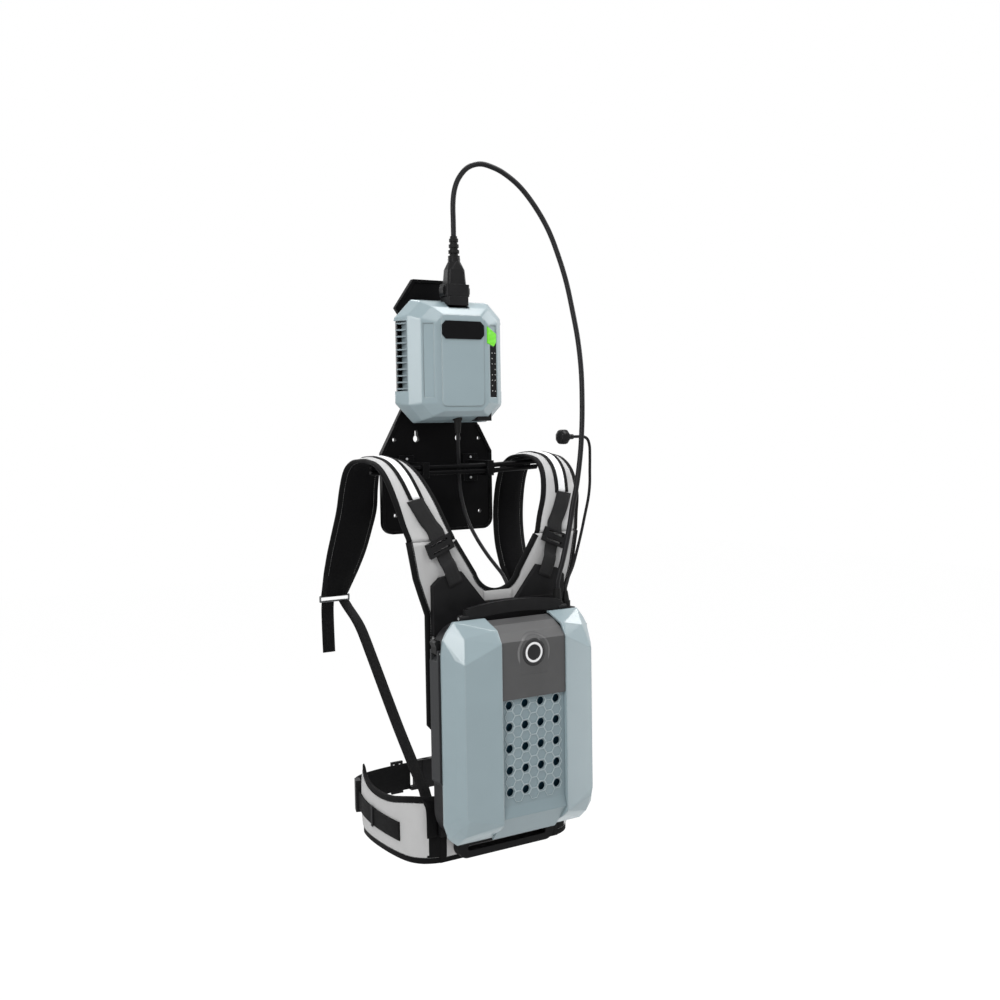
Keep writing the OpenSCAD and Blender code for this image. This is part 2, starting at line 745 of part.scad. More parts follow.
button_z = 148;
ring_d = 32;
recess_d = 39;
module control_panel() {
  color([0.28, 0.28, 0.28]) in_pack() difference() {
    union() {
      panel_strip(brow_line, panel_w);
      translate([0, 0, button_z]) along_y(0.5, 7.5, recess_d + 6);
    }
    translate([0, 0, button_z]) along_y(-1, 3.5, recess_d);
    translate([0, 0, button_z]) along_y(-1, 12, ring_d + 2*fit);
  }
}

module button_ring() {
  color([0.85, 0.85, 0.86]) in_pack() translate([0, 0, button_z]) difference() {
    along_y(-0.5, 8.5, ring_d);
    along_y(-2, 12, button_d + 2*gap);
  }
}

module power_button() {
  color([0.2, 0.2, 0.2]) in_pack() translate([0, 0, button_z]) {
    along_y(-0.8, 9.4, button_d);
    along_y(8.3, 1.6, button_d + 2.4);
  }
}

board_front = 16.5;     // front face of the battery's board
module button_switch() {
  color([0.12, 0.12, 0.12]) in_pack() translate([0, 0, button_z]) {
    along_y(10 + button_travel, 5, 6);
    block([-6, 14, -6], [6, board_front, 6]);
  }
}

module case_form(inset) {
  $fn = hull_fn;
  hull() {
    rounded_slab(cover_d - (inset > 0 ? 1 : 0), 34 + (inset > 0 ? 1 : 0),
      battery_w - 8 - 2*inset, -149 + inset, case_top - inset, 50);
    rounded_slab(cover_d + case_d - 0.5 - inset, 0.5, battery_w - 24 - 2*inset,
      -141 + inset, case_top - 8 - inset, 44);
  }
}
module battery_rear_case() {
  back = cover_d + case_d;
  color([0.13, 0.13, 0.14]) in_pack() difference() {
    union() {
      difference() {
        case_form(0);
        case_form(shell_t);
      }
      block([-well_x - shell_t, cover_d, well_floor - shell_t],
        [well_x + shell_t, back - 3, case_top - 10]);
      block([84, 63, case_top - 16], [127, 90, gland_low]);
    }
    block([-well_x, cover_d + shell_t, well_floor], [well_x, back + 1, case_top + 10]);
    battery_screw_places() along_y(back - shell_t - 1, shell_t + 2, screw_d + 2*fit);
  }
}

screw_x = battery_w/2 - 22;
module battery_screw_places() {
  for (x = [-1, 1], z = [-95, 20, 140]) translate([x*screw_x, 0, z]) children();
}
module battery_screws() {
  back = cover_d + case_d;
  color([0.5, 0.5, 0.52]) in_pack() battery_screw_places()
    along_y(back - shell_t - 6, shell_t + 5.8, screw_d);
}

cell_pitch = cell_d + 1.4;
cell_cols = 5;
cell_rows = 9;
holder_t = 3;
cell_low_y = 15.7;
module cell_block() {
  block_w = cell_cols*cell_pitch;
  block_h = cell_rows*cell_pitch;
  back = cover_d + case_d - shell_t - gap;
  translate([block_w/2 + 2, 0, -3]) {
    for (y = [cell_low_y, back - holder_t]) slab(y, holder_t) rounded(block_w, block_h, 3);
    slab(cell_low_y + holder_t/2, back - cell_low_y - holder_t)
      for (i = [0 : cell_cols - 1], k = [0 : cell_rows - 1])
        translate([(i - (cell_cols - 1)/2)*cell_pitch, (k - (cell_rows - 1)/2)*cell_pitch])
          circle(d = cell_d, $fn = 20);
  }
}
module cell_blocks() { color([0.2, 0.45, 0.6]) in_pack() both_sides() cell_block(); }

module battery_board() {
  low = -3 + cell_rows*cell_pitch/2 + gap;
  color([0.1, 0.35, 0.2]) in_pack() {
    rounded_slab(board_front, 1.6, 180, low, 168, 4);
    for (k = [-1, 1]) block([k*55 - 18, board_front + 1.5, low + 8],
      [k*55 + 18, board_front + 10, low + 30]);
  }
}

// ---- carrying handle ----

pivot_y = 57;
pivot_z = 203;
handle_arch = 7;        // rise of the band's middle over its ends
eye_w = 10;
module carry_handle() {
  half = handle_span/2 - eye_w/2;
  r = (half*half + handle_arch*handle_arch)/(2*handle_arch);
  steps = 16;
  top_arc = [for (i = [-steps : steps]) let (x = half*i/steps)
    [x, sqrt(r*r - x*x) - r + handle_arch + band_h - 5]];
  low_arc = [for (i = [steps : -1 : -steps]) let (x = half*i/steps)
    [x, sqrt(r*r - x*x) - r + 0.7*handle_arch - 2.5]];
  color([0.04, 0.04, 0.04]) in_pack() translate([0, pivot_y, pivot_z]) difference() {
    union() {
      slab(-band_t/2, band_t) polygon(concat(top_arc, low_arc));
      both_sides() {
        along_x(half - 1, eye_w + 1, 11);
        translate([half - 4, -band_t/2, -5]) cube([9, band_t, 18]);
      }
    }
    both_sides() along_x(half - 7, eye_w + 9, pivot_d + 2*fit);
  }
}

lug_t = 5;
module handle_brackets() {
  outer = handle_span/2 + eye_w/2 + gap;
  color([0.1, 0.1, 0.1]) in_pack() both_sides() difference() {
    union() {
      block([outer, pivot_y - 5.5, case_top], [outer + lug_t, pivot_y + 5.5, pivot_z]);
      translate([0, pivot_y, pivot_z]) along_x(outer, lug_t, 11);
    }
    translate([0, pivot_y, pivot_z]) along_x(outer - 1, lug_t + 2, pivot_d + 2*fit);
  }
}

module pivot_pins() {
  inner = handle_span/2 - eye_w/2 - 6;
  outer = handle_span/2 + eye_w/2 + gap + lug_t;
  color([0.7, 0.7, 0.72]) in_pack() both_sides() {
    translate([0, pivot_y, pivot_z]) along_x(inner, outer - inner, pivot_d);
    translate([lever_pin_x, 0, lever_pin_z]) along_y(lever_y - ear_t - gap,
      lever_w + 2*ear_t + 2*gap, 3);
  }
}

// ---- carrier: frame, side rails with their latch levers, foot ----

frame_y = cover_d + case_d;
frame_t = 10;
frame_w = 240;
frame_low = -150;
frame_high = 220;
module carrier_frame() {
  color([0.05, 0.05, 0.05]) in_pack() slab(frame_y, frame_t) {
    translate([-frame_w/2, frame_low]) square([frame_w, frame_high - frame_low]);
    both_sides() polygon([[30, 219], [74, 272], [112, 264], [126, 252], [126, 173],
      [100, 160], [30, 160]]);
  }
}

rail_low = -57;
rail_high = 147;
rail_y = 52;
rail_w = 26;
rail_t = 7;
flank_x = battery_w/2 - 4;
lever_pin_x = flank_x + 3.2;
lever_pin_z = 153;
lever_y = 56;
lever_w = 16;
ear_t = 4;
module side_rails() {
  color([0.2, 0.2, 0.21]) in_pack() both_sides() difference() {
    union() {
      translate([flank_x, rail_y + rail_w, 0]) rotate([90, 0, 0]) linear_extrude(rail_w)
        polygon([[0, rail_low], [rail_t, rail_low + 9], [rail_t, rail_high - 6], [0, rail_high]]);
      for (y = [lever_y - gap - ear_t, lever_y + lever_w + gap])
        block([flank_x, y, rail_high - 8], [flank_x + rail_t, y + ear_t, 158]);
    }
    translate([lever_pin_x, 0, lever_pin_z]) along_y(rail_y - 3, rail_w + 6, 3 + 2*fit);
  }
}

module latch_lever() {
  translate([0, lever_y, 0]) difference() {
    union() {
      block([flank_x + gap, 0, lever_pin_z], [flank_x + rail_t + 0.5, lever_w, 173]);
      translate([lever_pin_x, 0, lever_pin_z]) along_y(0, lever_w, 5.6);
      translate([flank_x + rail_t + 0.5, 0, 173]) rotate([-90, 0, 0])
        linear_extrude(lever_w) polygon([[-5, 0], [0, 0], [2.5, 3], [0, 10]]);
    }
    translate([lever_pin_x, 0, lever_pin_z]) along_y(-1, lever_w + 2, 3 + 2*fit);
  }
}
module latch_lever_right() { color([0.1, 0.1, 0.1]) in_pack() latch_lever(); }
module latch_lever_left() { color([0.1, 0.1, 0.1]) in_pack() mirror([1, 0, 0]) latch_lever(); }

foot_w = 184;
foot_low = -190;
foot_high = -150;
foot_slot_w = 152;
foot_slot_h = 9;
module bottom_foot() {
  color([0.22, 0.22, 0.23]) in_pack() difference() {
    slab(frame_y - 8, frame_t + 8) difference() {
      union() {
        translate([0, (foot_low + foot_high)/2]) rounded(foot_w, foot_high - foot_low, 16);
        translate([-foot_w/2 + 8, -160]) square([foot_w - 16, 10 - gap]);
      }
      translate([0, -174]) rounded(foot_slot_w, foot_slot_h, foot_slot_h/2 - 0.2);
    }
    block([-foot_w, 0, foot_high - gap], [foot_w, 200, 0]);
  }
}

// ---- harness: back panel and pads ----

back_y = frame_y + frame_t + gap;
pad_front = back_y + back_t;
neck_z = 237;           // lowest point of the neckline
back_low = 8;
yoke_top = 322;         // where the shoulder straps start
module back_outline() {
  neck_r = 42;
  right = [[133, 30], [133, 205], [143, 234], [153, 264], [168, yoke_top], [72, yoke_top],
    [44, 264]];
  arc = [for (a = [-18 : -18 : -162]) [neck_r*cos(a), neck_z + neck_r + neck_r*sin(a)]];
  left = [for (i = [len(right) - 1 : -1 : 0]) [-right[i][0], right[i][1]]];
  polygon(concat([[112, back_low]], right, arc, left, [[-112, back_low]]));
}
module harness_back() {
  color([0.6, 0.6, 0.6]) in_pack() slab(back_y, back_t) back_outline();
}

// A pad on a flat seat: crowned, with two sewn channels from end to end.
function pad_share(v) = pow(max(0, 1 - pow(abs(v), 6)), 0.5);
function channel(u, places) = min([for (c = places) 1 - 0.45*exp(-pow((u - c)/0.045, 2))]);
module pad(w, low, high, y0, t, places) {
  n = 24;
  rows = 22;
  skin([for (k = [0 : rows]) let (v = -1 + 2*k/rows, s = 0.12 + 0.88*pad_share(v),
      z = (low + high)/2 + v*(high - low)/2, half = w/2*(0.86 + 0.14*pad_share(v)))
    concat([[half, y0, z], [-half, y0, z]], [for (i = [0 : n]) let (u = -1 + 2*i/n)
      [u*half, y0 + 1 + (t - 1)*s*(0.15 + 0.85*pad_share(u))*channel(u, places), z]])]);
}
back_pad_w = 224;
back_pad_low = 24;
back_pad_high = 190;
module back_pad() {
  color([0.04, 0.04, 0.04]) in_pack()
    pad(back_pad_w, back_pad_low, back_pad_high, pad_front + gap, pad_t, [-0.36, 0.36]);
}
lumbar_w = 224;
belt_low = -197;
lumbar_top = -86;
module lumbar_pad() {
  color([0.04, 0.04, 0.04]) in_pack()
    pad(lumbar_w, belt_low, lumbar_top, back_y, lumbar_t, [-0.5, 0, 0.5]);
}

// ---- harness: shoulder straps ----

strap_y = back_y + back_t/2;
strap_start = yoke_top + gap;
strap_left = [[-120, strap_y, strap_start], [-121.5, strap_y, 327], [-129, 113, 350], [-140, 121, 385],
  [-149, 141, 420], [-154, 168, 440.5], [-156, 200, 447.6], [-156, 225, 448.2],
  [-156, 252, 444.5], [-154, 277, 430], [-151, 296, 400], [-148, 312, 362],
  [-146, 336, 325], [-144, 364, 285], [-142, 394, 246], [-138, 431.6, 202]];
strap_right = [[120, strap_y, strap_start], [121.5, strap_y, 327], [129, 113, 350], [140, 121, 385],
  [149, 141, 420], [153, 168, 440.5], [154, 200, 447.6], [153, 225, 448.2],
  [151, 250, 443.5], [149, 271, 428], [148, 284, 400], [147, 291, 362],
  [146, 291, 324], [145, 284, 286], [143, 268, 250], [139.5, 239.2, 210.2]];
left_widths = [88, 87, 84, 78, 70, 64, 62, 62, 64, 68, 72, 76, 76, 74, 66, 52];
right_widths = [88, 87, 84, 78, 70, 64, 62, 62, 62, 62, 63, 64, 64, 64, 62, 52];
module strap(p, widths) {
  line = with_ends(p, 2);
  wide = with_ends([for (w = widths) [w, 0]], 2);
  band(line, [for (w = wide) w[0]], [for (q = line) strap_t], [1, 0, 0], pad_outline(12));
}
module shoulder_strap_left() {
  color([0.62, 0.62, 0.62]) in_pack() strap(strap_left, left_widths);
}
module shoulder_strap_right() {
  color([0.62, 0.62, 0.62]) in_pack() strap(strap_right, right_widths);
}

// Load lifters: webbing on the front of each strap, through a lock, to the yoke.
lifter_off = strap_t/2 + gap + webbing_t/2;
lifter_dx = [-6, -4, 0, 4, 5];
function lifter_point(line, i) =
  line[i] + [lifter_dx[i - 2], 0, 0] - lifter_off*face_of(line, i, [1, 0, 0]);
lifter_low = [[104, 98, 300], [100, 95, 290], [96, 90.7, 280], [85, 90.7, 252]];
lock_place = [110.5, 98.5, 314];
module lifter_webbing() {
  color([0.14, 0.14, 0.14]) in_pack() both_sides() {
    tape([for (i = [6 : -1 : 2]) lifter_point(with_ends(strap_right, 2), i)],
      webbing_w - 4, [1, 0, 0]);
    tape(smooth(lifter_low, 2), narrow_w, [0.93, 0, -0.37]);
  }
}
lock_tilt = 22;
module ladder_locks() {
  color([0.05, 0.05, 0.05]) in_pack() both_sides() translate(lock_place)
    rotate([0, lock_tilt, 0]) difference() {
      block([-23, -5, -12], [23, 1.2, 12]);
      block([-16, -6, 5], [16, 3, 8.5]);
      block([-16, -6, -7.5], [16, 3, -4]);
    }
}

ring_wire = 3.5;
ring_span = 56;
module wire_ring(w, h, d) {
  for (s = [-1, 1]) {
    translate([0, 0, s*h/2]) along_x(-w/2, w, d);
    translate([s*w/2, 0, -h/2]) cylinder(h = h, d = d);
    for (k = [-1, 1]) translate([s*w/2, 0, k*h/2]) sphere(d = d);
  }
}
left_ring = [-137, 433, 196];
right_ring = [139, 238, 204];
module strap_rings() {
  color([0.75, 0.75, 0.76]) in_pack() {
    translate(left_ring) wire_ring(ring_span, 9, ring_wire);
    translate(right_ring) wire_ring(ring_span, 9, ring_wire);
  }
}

lower_left = [[-119, 432, 189.4], [-120, 414, 180], [-121, 365, 152], [-122, 316, 102],
  [-123, 271, 53], [-124, 226, 5], [-126, 184, -34], [-128, 154, -60], [-129, 131, -78],
  [-130.8, 119, -90], [-130.8, 105.5, -100], [-130.8, 102, -112], [-130.8, 101, -150]];
lower_right = [[121, 237, 197.4], [121, 225, 182], [122, 205, 140], [123, 192, 100],
  [124, 180, 50], [125, 168, 0], [127, 148, -50], [129, 131, -78],
  [130.8, 119, -90], [130.8, 105.5, -100], [130.8, 102, -112], [130.8, 101, -150]];
tail_left = [[-150, 434, 189.4], [-150, 436, 176], [-149, 438, 150], [-148, 439, 120],
  [-147, 440, 98]];
module lower_webbing() {
  color([0.06, 0.06, 0.06]) in_pack() {
    tape(smooth(lower_left, 2), narrow_w - 4, [1, 0, 0]);
    tape(smooth(lower_right, 2), narrow_w - 4, [1, 0, 0]);
    tape(smooth(tail_left, 2), narrow_w - 1, [1, 0, 0]);
  }
}

// ---- hip belt ----

wing_line = [[lumbar_w/2 + gap, frame_y + frame_t + wing_t/2 + gap], [123, 111], [138, 119.5], [149, 134], [155, 155], [158, 185],
  [158.5, 222], [156.5, 260], [152, 290], [146, 312]];
wing_top = [-104, -104, -98, -87, -92, -98, -101, -99, -91, -77];
module wing() {
  line = wing_points([for (z = wing_top) (z + belt_low)/2]);
  tall = smooth([for (z = wing_top) [z - belt_low, 0]], 2);
  band(line, [for (h = tall) h[0]], [for (q = line) wing_t], [0, 0, 1], pad_outline(12));
}
module belt_wing_right() { color([0.66, 0.66, 0.66]) in_pack() wing(); }
module belt_wing_left() { color([0.66, 0.66, 0.66]) in_pack() mirror([1, 0, 0]) wing(); }

belt_z = -146;
belt_front_y = 408;
socket_x0 = 20;         // the buckle socket's two ends
socket_x1 = 54;
patch_w = 31;           // width of the webbing sewn on each wing
// Webbing sewn on each wing, round through the tip slider to the front buckle.
patch_off = wing_t/2 + gap + webbing_t/2;
tip_place = [149.5, 330];   // middle of the slider at the wing's tip
tip_turn = 110;
tip_l = 19;
tip_far = tip_place + (tip_l/2 + gap)*[cos(tip_turn), sin(tip_turn)];
tip_near = tip_place - (tip_l/2 + gap)*[cos(tip_turn), sin(tip_turn)];
patch_z = [-150, -150, -150, -150, -149, -148, -147, -145, -143, -141];
function wing_points(z) = smooth([for (i = [0 : len(wing_line) - 1])
  [wing_line[i][0], wing_line[i][1], z[i]]], 2);
front_left = [[-tip_far[0], tip_far[1], belt_z + 9], [-140, 357, belt_z + 7], [-119, 379, belt_z + 4],
  [-88, 397, belt_z + 1], [-52, 406, belt_z], [-26, belt_front_y, belt_z],
  [-4, belt_front_y, belt_z]];
front_right = [[tip_far[0], tip_far[1], belt_z + 9], [140, 357, belt_z + 7], [119, 379, belt_z + 4],
  [90, 396, belt_z + 1], [70, 404, belt_z], [socket_x1 + gap, 407.5, belt_z]];
module belt_webbing() {
  color([0.05, 0.05, 0.05]) in_pack() {
    both_sides() let (line = wing_points(patch_z))
      tape(concat([for (i = [8 : 17]) line[i] + patch_off*face_of(line, i, [0, 0, 1])],
        [[tip_near[0], tip_near[1], patch_z[9]]]), patch_w, [0, 0, 1]);
    tape(smooth(front_left, 2), belt_webbing_w, [0, 0, 1]);
    tape(smooth(front_right, 2), belt_webbing_w, [0, 0, 1]);
  }
}

module slider_frame(w, h, t) {
  difference() {
    cube([w, t, h], center = true);
    for (s = [-1, 1]) translate([s*w/4, 0, 0])
      cube([w/2 - 7, t + 2, h - 9], center = true);
  }
}
module belt_sliders() {
  color([0.03, 0.03, 0.03]) in_pack() {
    both_sides() translate([tip_place[0], tip_place[1], belt_z + 10])
      rotate([0, 0, tip_turn]) slider_frame(tip_l, belt_webbing_w + 5, 9);
    translate([-30, belt_front_y + webbing_t/2 + 2 + gap, belt_z])
      slider_frame(24, belt_webbing_w + 10, 4);
  }
}

// Side release buckle: the socket, the plug and the plug's two squeeze arms.
buckle_h = 54;
buckle_t = 12;
arm_pivot = [16, 15.5]; // X, and height over the belt's middle
module buckle_socket() {
  color([0.03, 0.03, 0.03]) in_pack() translate([0, belt_front_y, belt_z]) difference() {
    block([socket_x0, -buckle_t/2, -buckle_h/2], [socket_x1, buckle_t/2, buckle_h/2]);
    block([socket_x0 - 1, -buckle_t/2 + 2, -buckle_h/2 + 2.2],
      [socket_x1 - 6, buckle_t/2 - 2, buckle_h/2 - 2.2]);
    for (s = [-1, 1]) translate([29, 0, s*buckle_h/2])
      cube([13, buckle_t - 4, 8], center = true);
  }
}
module buckle_plug() {
  color([0.035, 0.035, 0.035]) in_pack() translate([0, belt_front_y, belt_z]) difference() {
    union() {
      block([-4 + gap, -5.2, -buckle_h/2], [socket_x0 - gap, 5.2, buckle_h/2]);
      block([socket_x0 - 1, 2 - buckle_t/2 + gap, -4.5],
        [socket_x1 - 8, buckle_t/2 - 2 - gap, 4.5]);
    }
    block([-4, -6, -20], [4, 6, 20]);
    for (s = [-1, 1]) {
      block([12, -3.3, s > 0 ? 10.5 : -21], [24, 3.3, s > 0 ? 21 : -10.5]);
      translate([arm_pivot[0], 0, s*arm_pivot[1]]) along_y(-6, 12, 3 + 2*fit);
    }
  }
}
module buckle_arm() {
  translate([arm_pivot[0], 0, arm_pivot[1]]) {
    along_y(-5, 10, 3);
    along_y(-3, 6, 5.6);
    block([0, -3, -2], [10, 3, 2]);
    translate([0, 3, 0]) rotate([90, 0, 0]) linear_extrude(6)
      polygon([[9, -2], [24, -5.5], [25.5, -3.5], [18.5, 3.8], [9.6, 3.8], [9, 2]]);
  }
}
module buckle_arm_right() {
  color([0.04, 0.04, 0.04]) in_pack() translate([0, belt_front_y, belt_z]) buckle_arm();
}
module buckle_arm_left() {
  color([0.04, 0.04, 0.04]) in_pack() translate([0, belt_front_y, belt_z])
    mirror([0, 0, 1]) buckle_arm();
}

holder_plate();
hanger_bar();
bar_brackets();
plate_screws();
at_charger() charger_front_shell();
at_charger() charger_rear_shell();
at_charger() charger_fins();
at_charger() charger_badge();
at_charger() charger_lamp_lens();
at_charger() charger_display_strip();
at_charger() charger_board();
at_charger() charger_transformer();
at_charger() charger_socket();
at_charger() mains_inlet();
at_charger() lead_outlet();
at_charger() charge_plug();
at_charger() plug_latch_left();
at_charger() plug_latch_right();
at_charger() plug_boot();
charge_cord();
cord_gland();
accessory_lead();
lead_knob();
charger_lead();
lead_inlet();
battery_front_cover();
grille_panel();
control_panel();
button_ring();
power_button();
button_switch();
battery_rear_case();
cell_blocks();
battery_board();
battery_screws();
carry_handle();
handle_brackets();
pivot_pins();
carrier_frame();
side_rails();
latch_lever_left();
latch_lever_right();
bottom_foot();
harness_back();
back_pad();
lumbar_pad();
shoulder_strap_left();
shoulder_strap_right();
lifter_webbing();
ladder_locks();
lower_webbing();
strap_rings();
belt_wing_left();
belt_wing_right();
belt_webbing();
belt_sliders();
buckle_socket();
buckle_plug();
buckle_arm_left();
buckle_arm_right();
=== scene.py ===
"""A backpack battery in its carrying harness, hung on a holder plate with its charger."""
from math import cos, exp, hypot, pi, radians, sin, sqrt

import bmesh
import bpy
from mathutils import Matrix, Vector, noise

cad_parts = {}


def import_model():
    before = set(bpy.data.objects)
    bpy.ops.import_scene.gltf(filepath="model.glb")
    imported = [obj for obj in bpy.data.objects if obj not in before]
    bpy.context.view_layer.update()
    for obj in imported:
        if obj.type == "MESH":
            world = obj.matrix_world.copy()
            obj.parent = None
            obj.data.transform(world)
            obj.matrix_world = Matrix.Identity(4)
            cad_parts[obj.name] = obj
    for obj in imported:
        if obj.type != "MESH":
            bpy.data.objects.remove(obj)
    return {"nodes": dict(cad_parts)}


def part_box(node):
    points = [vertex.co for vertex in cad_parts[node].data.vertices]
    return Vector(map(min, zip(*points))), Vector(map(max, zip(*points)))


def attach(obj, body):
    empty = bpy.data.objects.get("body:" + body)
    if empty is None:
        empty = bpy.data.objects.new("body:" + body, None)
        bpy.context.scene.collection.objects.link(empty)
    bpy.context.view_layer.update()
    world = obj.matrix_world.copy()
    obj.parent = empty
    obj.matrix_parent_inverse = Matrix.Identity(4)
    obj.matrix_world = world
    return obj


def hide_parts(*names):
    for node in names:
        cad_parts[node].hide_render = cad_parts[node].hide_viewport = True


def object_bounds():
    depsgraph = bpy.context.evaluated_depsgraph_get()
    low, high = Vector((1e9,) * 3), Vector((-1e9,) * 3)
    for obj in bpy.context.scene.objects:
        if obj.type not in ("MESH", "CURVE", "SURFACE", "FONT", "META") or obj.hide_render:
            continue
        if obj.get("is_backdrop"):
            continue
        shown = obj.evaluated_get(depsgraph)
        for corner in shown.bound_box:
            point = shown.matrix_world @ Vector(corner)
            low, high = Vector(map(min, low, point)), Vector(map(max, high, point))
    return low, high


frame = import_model()
cad_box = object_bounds()
nodes = frame["nodes"]
scene = bpy.context.scene


# ---- The camera ----
# It stands about two metres away, in front of the hanging pack and to its left, and
# looks at it almost level.
def placed(name, data):
    """A new object at the origin that holds the data."""
    piece = bpy.data.objects.new(name, data)
    scene.collection.objects.link(piece)
    return piece


lens = bpy.data.cameras.new("camera")
lens.sensor_width, lens.lens = 36, 43.2
lens.clip_start, lens.clip_end = 0.1, 60
camera = placed("camera", lens)
camera.location = (-1.0474, -1.8302, 0.0905)
camera.rotation_euler = [radians(a) for a in (86.3396, 0.8682, -32.8855)]
scene.camera = camera


# ---- The cords ----
# Three round cables with a smooth black rubber jacket: the thick one carries the
# charge from the plug to the pack, a thin one ends in a knob, and the charger's
# own lead goes down to the harness. Their runs are given in the pack's frame.
PACK = Vector((0, -298, -415))


def at_pack(*place):
    """A place in millimetres from the middle of the grille, as metres from the plate."""
    return (Vector(place) + PACK) / 1000


def smooth(points, steps):
    """Points on a smooth run through the given ones, with that many steps between two."""
    points = [Vector(p) for p in points]
    last = len(points) - 1
    run = []
    for i in range(last):
        a, b, c, d = (points[min(max(k, 0), last)] for k in (i - 1, i, i + 1, i + 2))
        for k in range(steps):
            t = k / steps
            run.append(0.5 * (2 * b + (c - a) * t + (2 * a - 5 * b + 4 * c - d) * t * t
                              + (3 * b - 3 * c + d - a) * t ** 3))
    return run + [points[-1]]


def straight_ended(points, steps):
    """The same, with a straight first and last stretch."""
    points = [Vector(p) for p in points]
    return points[:1] + smooth(points[1:-1], steps) + points[-1:]


def both_ways(operation):
    """An operator's two methods, for the other value after it and before it."""
    def after(self, other): return self.math(operation, other)

    def before(self, other):
        return self.tree.add("ShaderNodeMath", other, self, operation=operation)

    return after, before


class Amount:
    """A value that changes over a surface. Arithmetic on it adds Math nodes to its tree."""

    def __init__(self, tree, socket):
        self.tree, self.socket = tree, socket

    def math(self, operation, *others):
        return self.tree.add("ShaderNodeMath", self, *others, operation=operation)

    __add__, __radd__ = both_ways("ADD")
    __sub__, __rsub__ = both_ways("SUBTRACT")
    __mul__, __rmul__ = both_ways("MULTIPLY")
    __truediv__, __rtruediv__ = both_ways("DIVIDE")
    __mod__, __rmod__ = both_ways("FLOORED_MODULO")
    def __gt__(self, other): return self.math("GREATER_THAN", other)
    def __lt__(self, other): return self.math("LESS_THAN", other)
    def __abs__(self): return self.math("ABSOLUTE")

    def wave(self, length):
        """0 to 1 and back once in each length."""
        return (self * (2 * pi / length)).math("SINE") * 0.5 + 0.5

    def between(self, low, high):
        """0 at low, 1 at high, and no further."""
        return self.tree.add("ShaderNodeMapRange", self, low, high, 0.0, 1.0)


class Tree:
    """A tree of nodes that are added one call at a time."""
    family = "ShaderNode"

    def __init__(self, tree):
        self.tree = tree

    def give(self, inputs, name, value):
        """Sets an input or links it to an amount. None leaves it as it is."""
        socket = inputs[name.replace("_", " ") if isinstance(name, str) else name]
        if isinstance(value, Amount):
            self.tree.links.new(value.socket, socket)
        elif value is not None:
            socket.default_value = value

    def add(self, kind, *values, out=0, **named):
        """A new node's output. Names in small letters are its settings, others its inputs."""
        node = self.tree.nodes.new(kind if "Node" in kind else self.family + kind)
        given = dict(enumerate(values))
        for name, value in named.items():
            if name.islower():
                setattr(node, name, value)
            else:
                given[name] = value
        for name, value in given.items():
            self.give(node.inputs, name, value)
        return Amount(self, node.outputs[out])


class Finish(Tree):
    """A material on the standard shader."""

    def __init__(self, name, colour, roughness, specular=0.5, **fixed):
        self.material = bpy.data.materials.new(name)
        self.material.use_nodes = True
        super().__init__(self.material.node_tree)
        self.shader = self.tree.nodes["Principled BSDF"]
        self.feed(Base_Color=(*colour, 1), Roughness=roughness, Specular_IOR_Level=specular,
                  **fixed)
        self.material.diffuse_color = (*colour, 1)
        self.place = self.add("TexCoord", out="Object")

    def feed(self, **given):
        """Sets or links the shader's own inputs."""
        for name, value in given.items():
            self.give(self.shader.inputs, name, value)
        return self

    def noise(self, size, detail=2.0):
        """Soft blotches of about that size in metres, from 0 to 1."""
        return self.add("TexNoise", Vector=self.place, Scale=1 / size, Detail=detail,
                        Roughness=0.55)

    def mix(self, share, first, second):
        """A colour between two."""
        ends = [c if isinstance(c, Amount) else (*c, 1) for c in (first, second)]
        return self.add("Mix", share, *[None] * 5, *ends, data_type="RGBA", out=2)

    def coloured(self, share, first, second, roughness=None):
        """Gives it the colour between two, and a roughness if that varies too."""
        return self.feed(Base_Color=self.mix(share, first, second), Roughness=roughness)

    def parts(self, where=None):
        """The three coordinates of a place, or of each point itself."""
        node = self.add("SeparateXYZ", where or self.place).socket.node
        return [Amount(self, out) for out in node.outputs]

    def edge_wear_and_highlight(self, radius):
        """1 on outer edges of about that radius, else 0. On powder coat it marks edges polished
        by handling; on moulded plastic it makes edges paler, partly as wear and partly as painted
        highlight.
        """
        alike = self.add("VectorMath", self.add("Bevel", radius, samples=4),
                         self.add("NewGeometry", out="Normal"), operation="DOT_PRODUCT", out=1)
        return (1 - alike).between(0.02, 0.22)

    def relief(self, height, depth, softened=None):
        """Bumps of that depth in metres, over edges softened by a small radius."""
        normal = softened and self.add("Bevel", softened, samples=4)
        if height is not None:
            normal = self.add("Bump", Strength=1.0, Distance=depth, Height=height,
                              Normal=normal)
        return self.feed(Normal=normal)


def shade(colour, share, lift=0.0):
    """A darker or paler tone of a colour."""
    return [c * share + lift for c in colour]


def grained(name, colour, roughness, grain, depth, softened=None):
    """Rubber or plastic that comes grained out of its mould, a little scuffed and dusty."""
    finish = Finish(name, colour, roughness, specular=0.09)
    scuffs = finish.noise(0.018, 4).between(0.35, 0.75)
    finish.coloured(scuffs * 0.5, colour, shade(colour, 1.4, 0.002), scuffs * 0.16 + roughness)
    return finish.relief(finish.noise(grain, 3), depth, softened)


cord_rubber = grained("cord_rubber", (0.012, 0.012, 0.013), 0.3, 0.0012, 0.00008)


def route(*places):
    """A cord's run through places in the pack's frame."""
    return straight_ended([at_pack(*p) for p in places], 6)


def keep(piece, slot, *replaced):
    """Adds a piece to the fixed base and hides the solids it stands for. slot is not used."""
    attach(piece, "base")
    if replaced:
        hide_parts(*replaced)


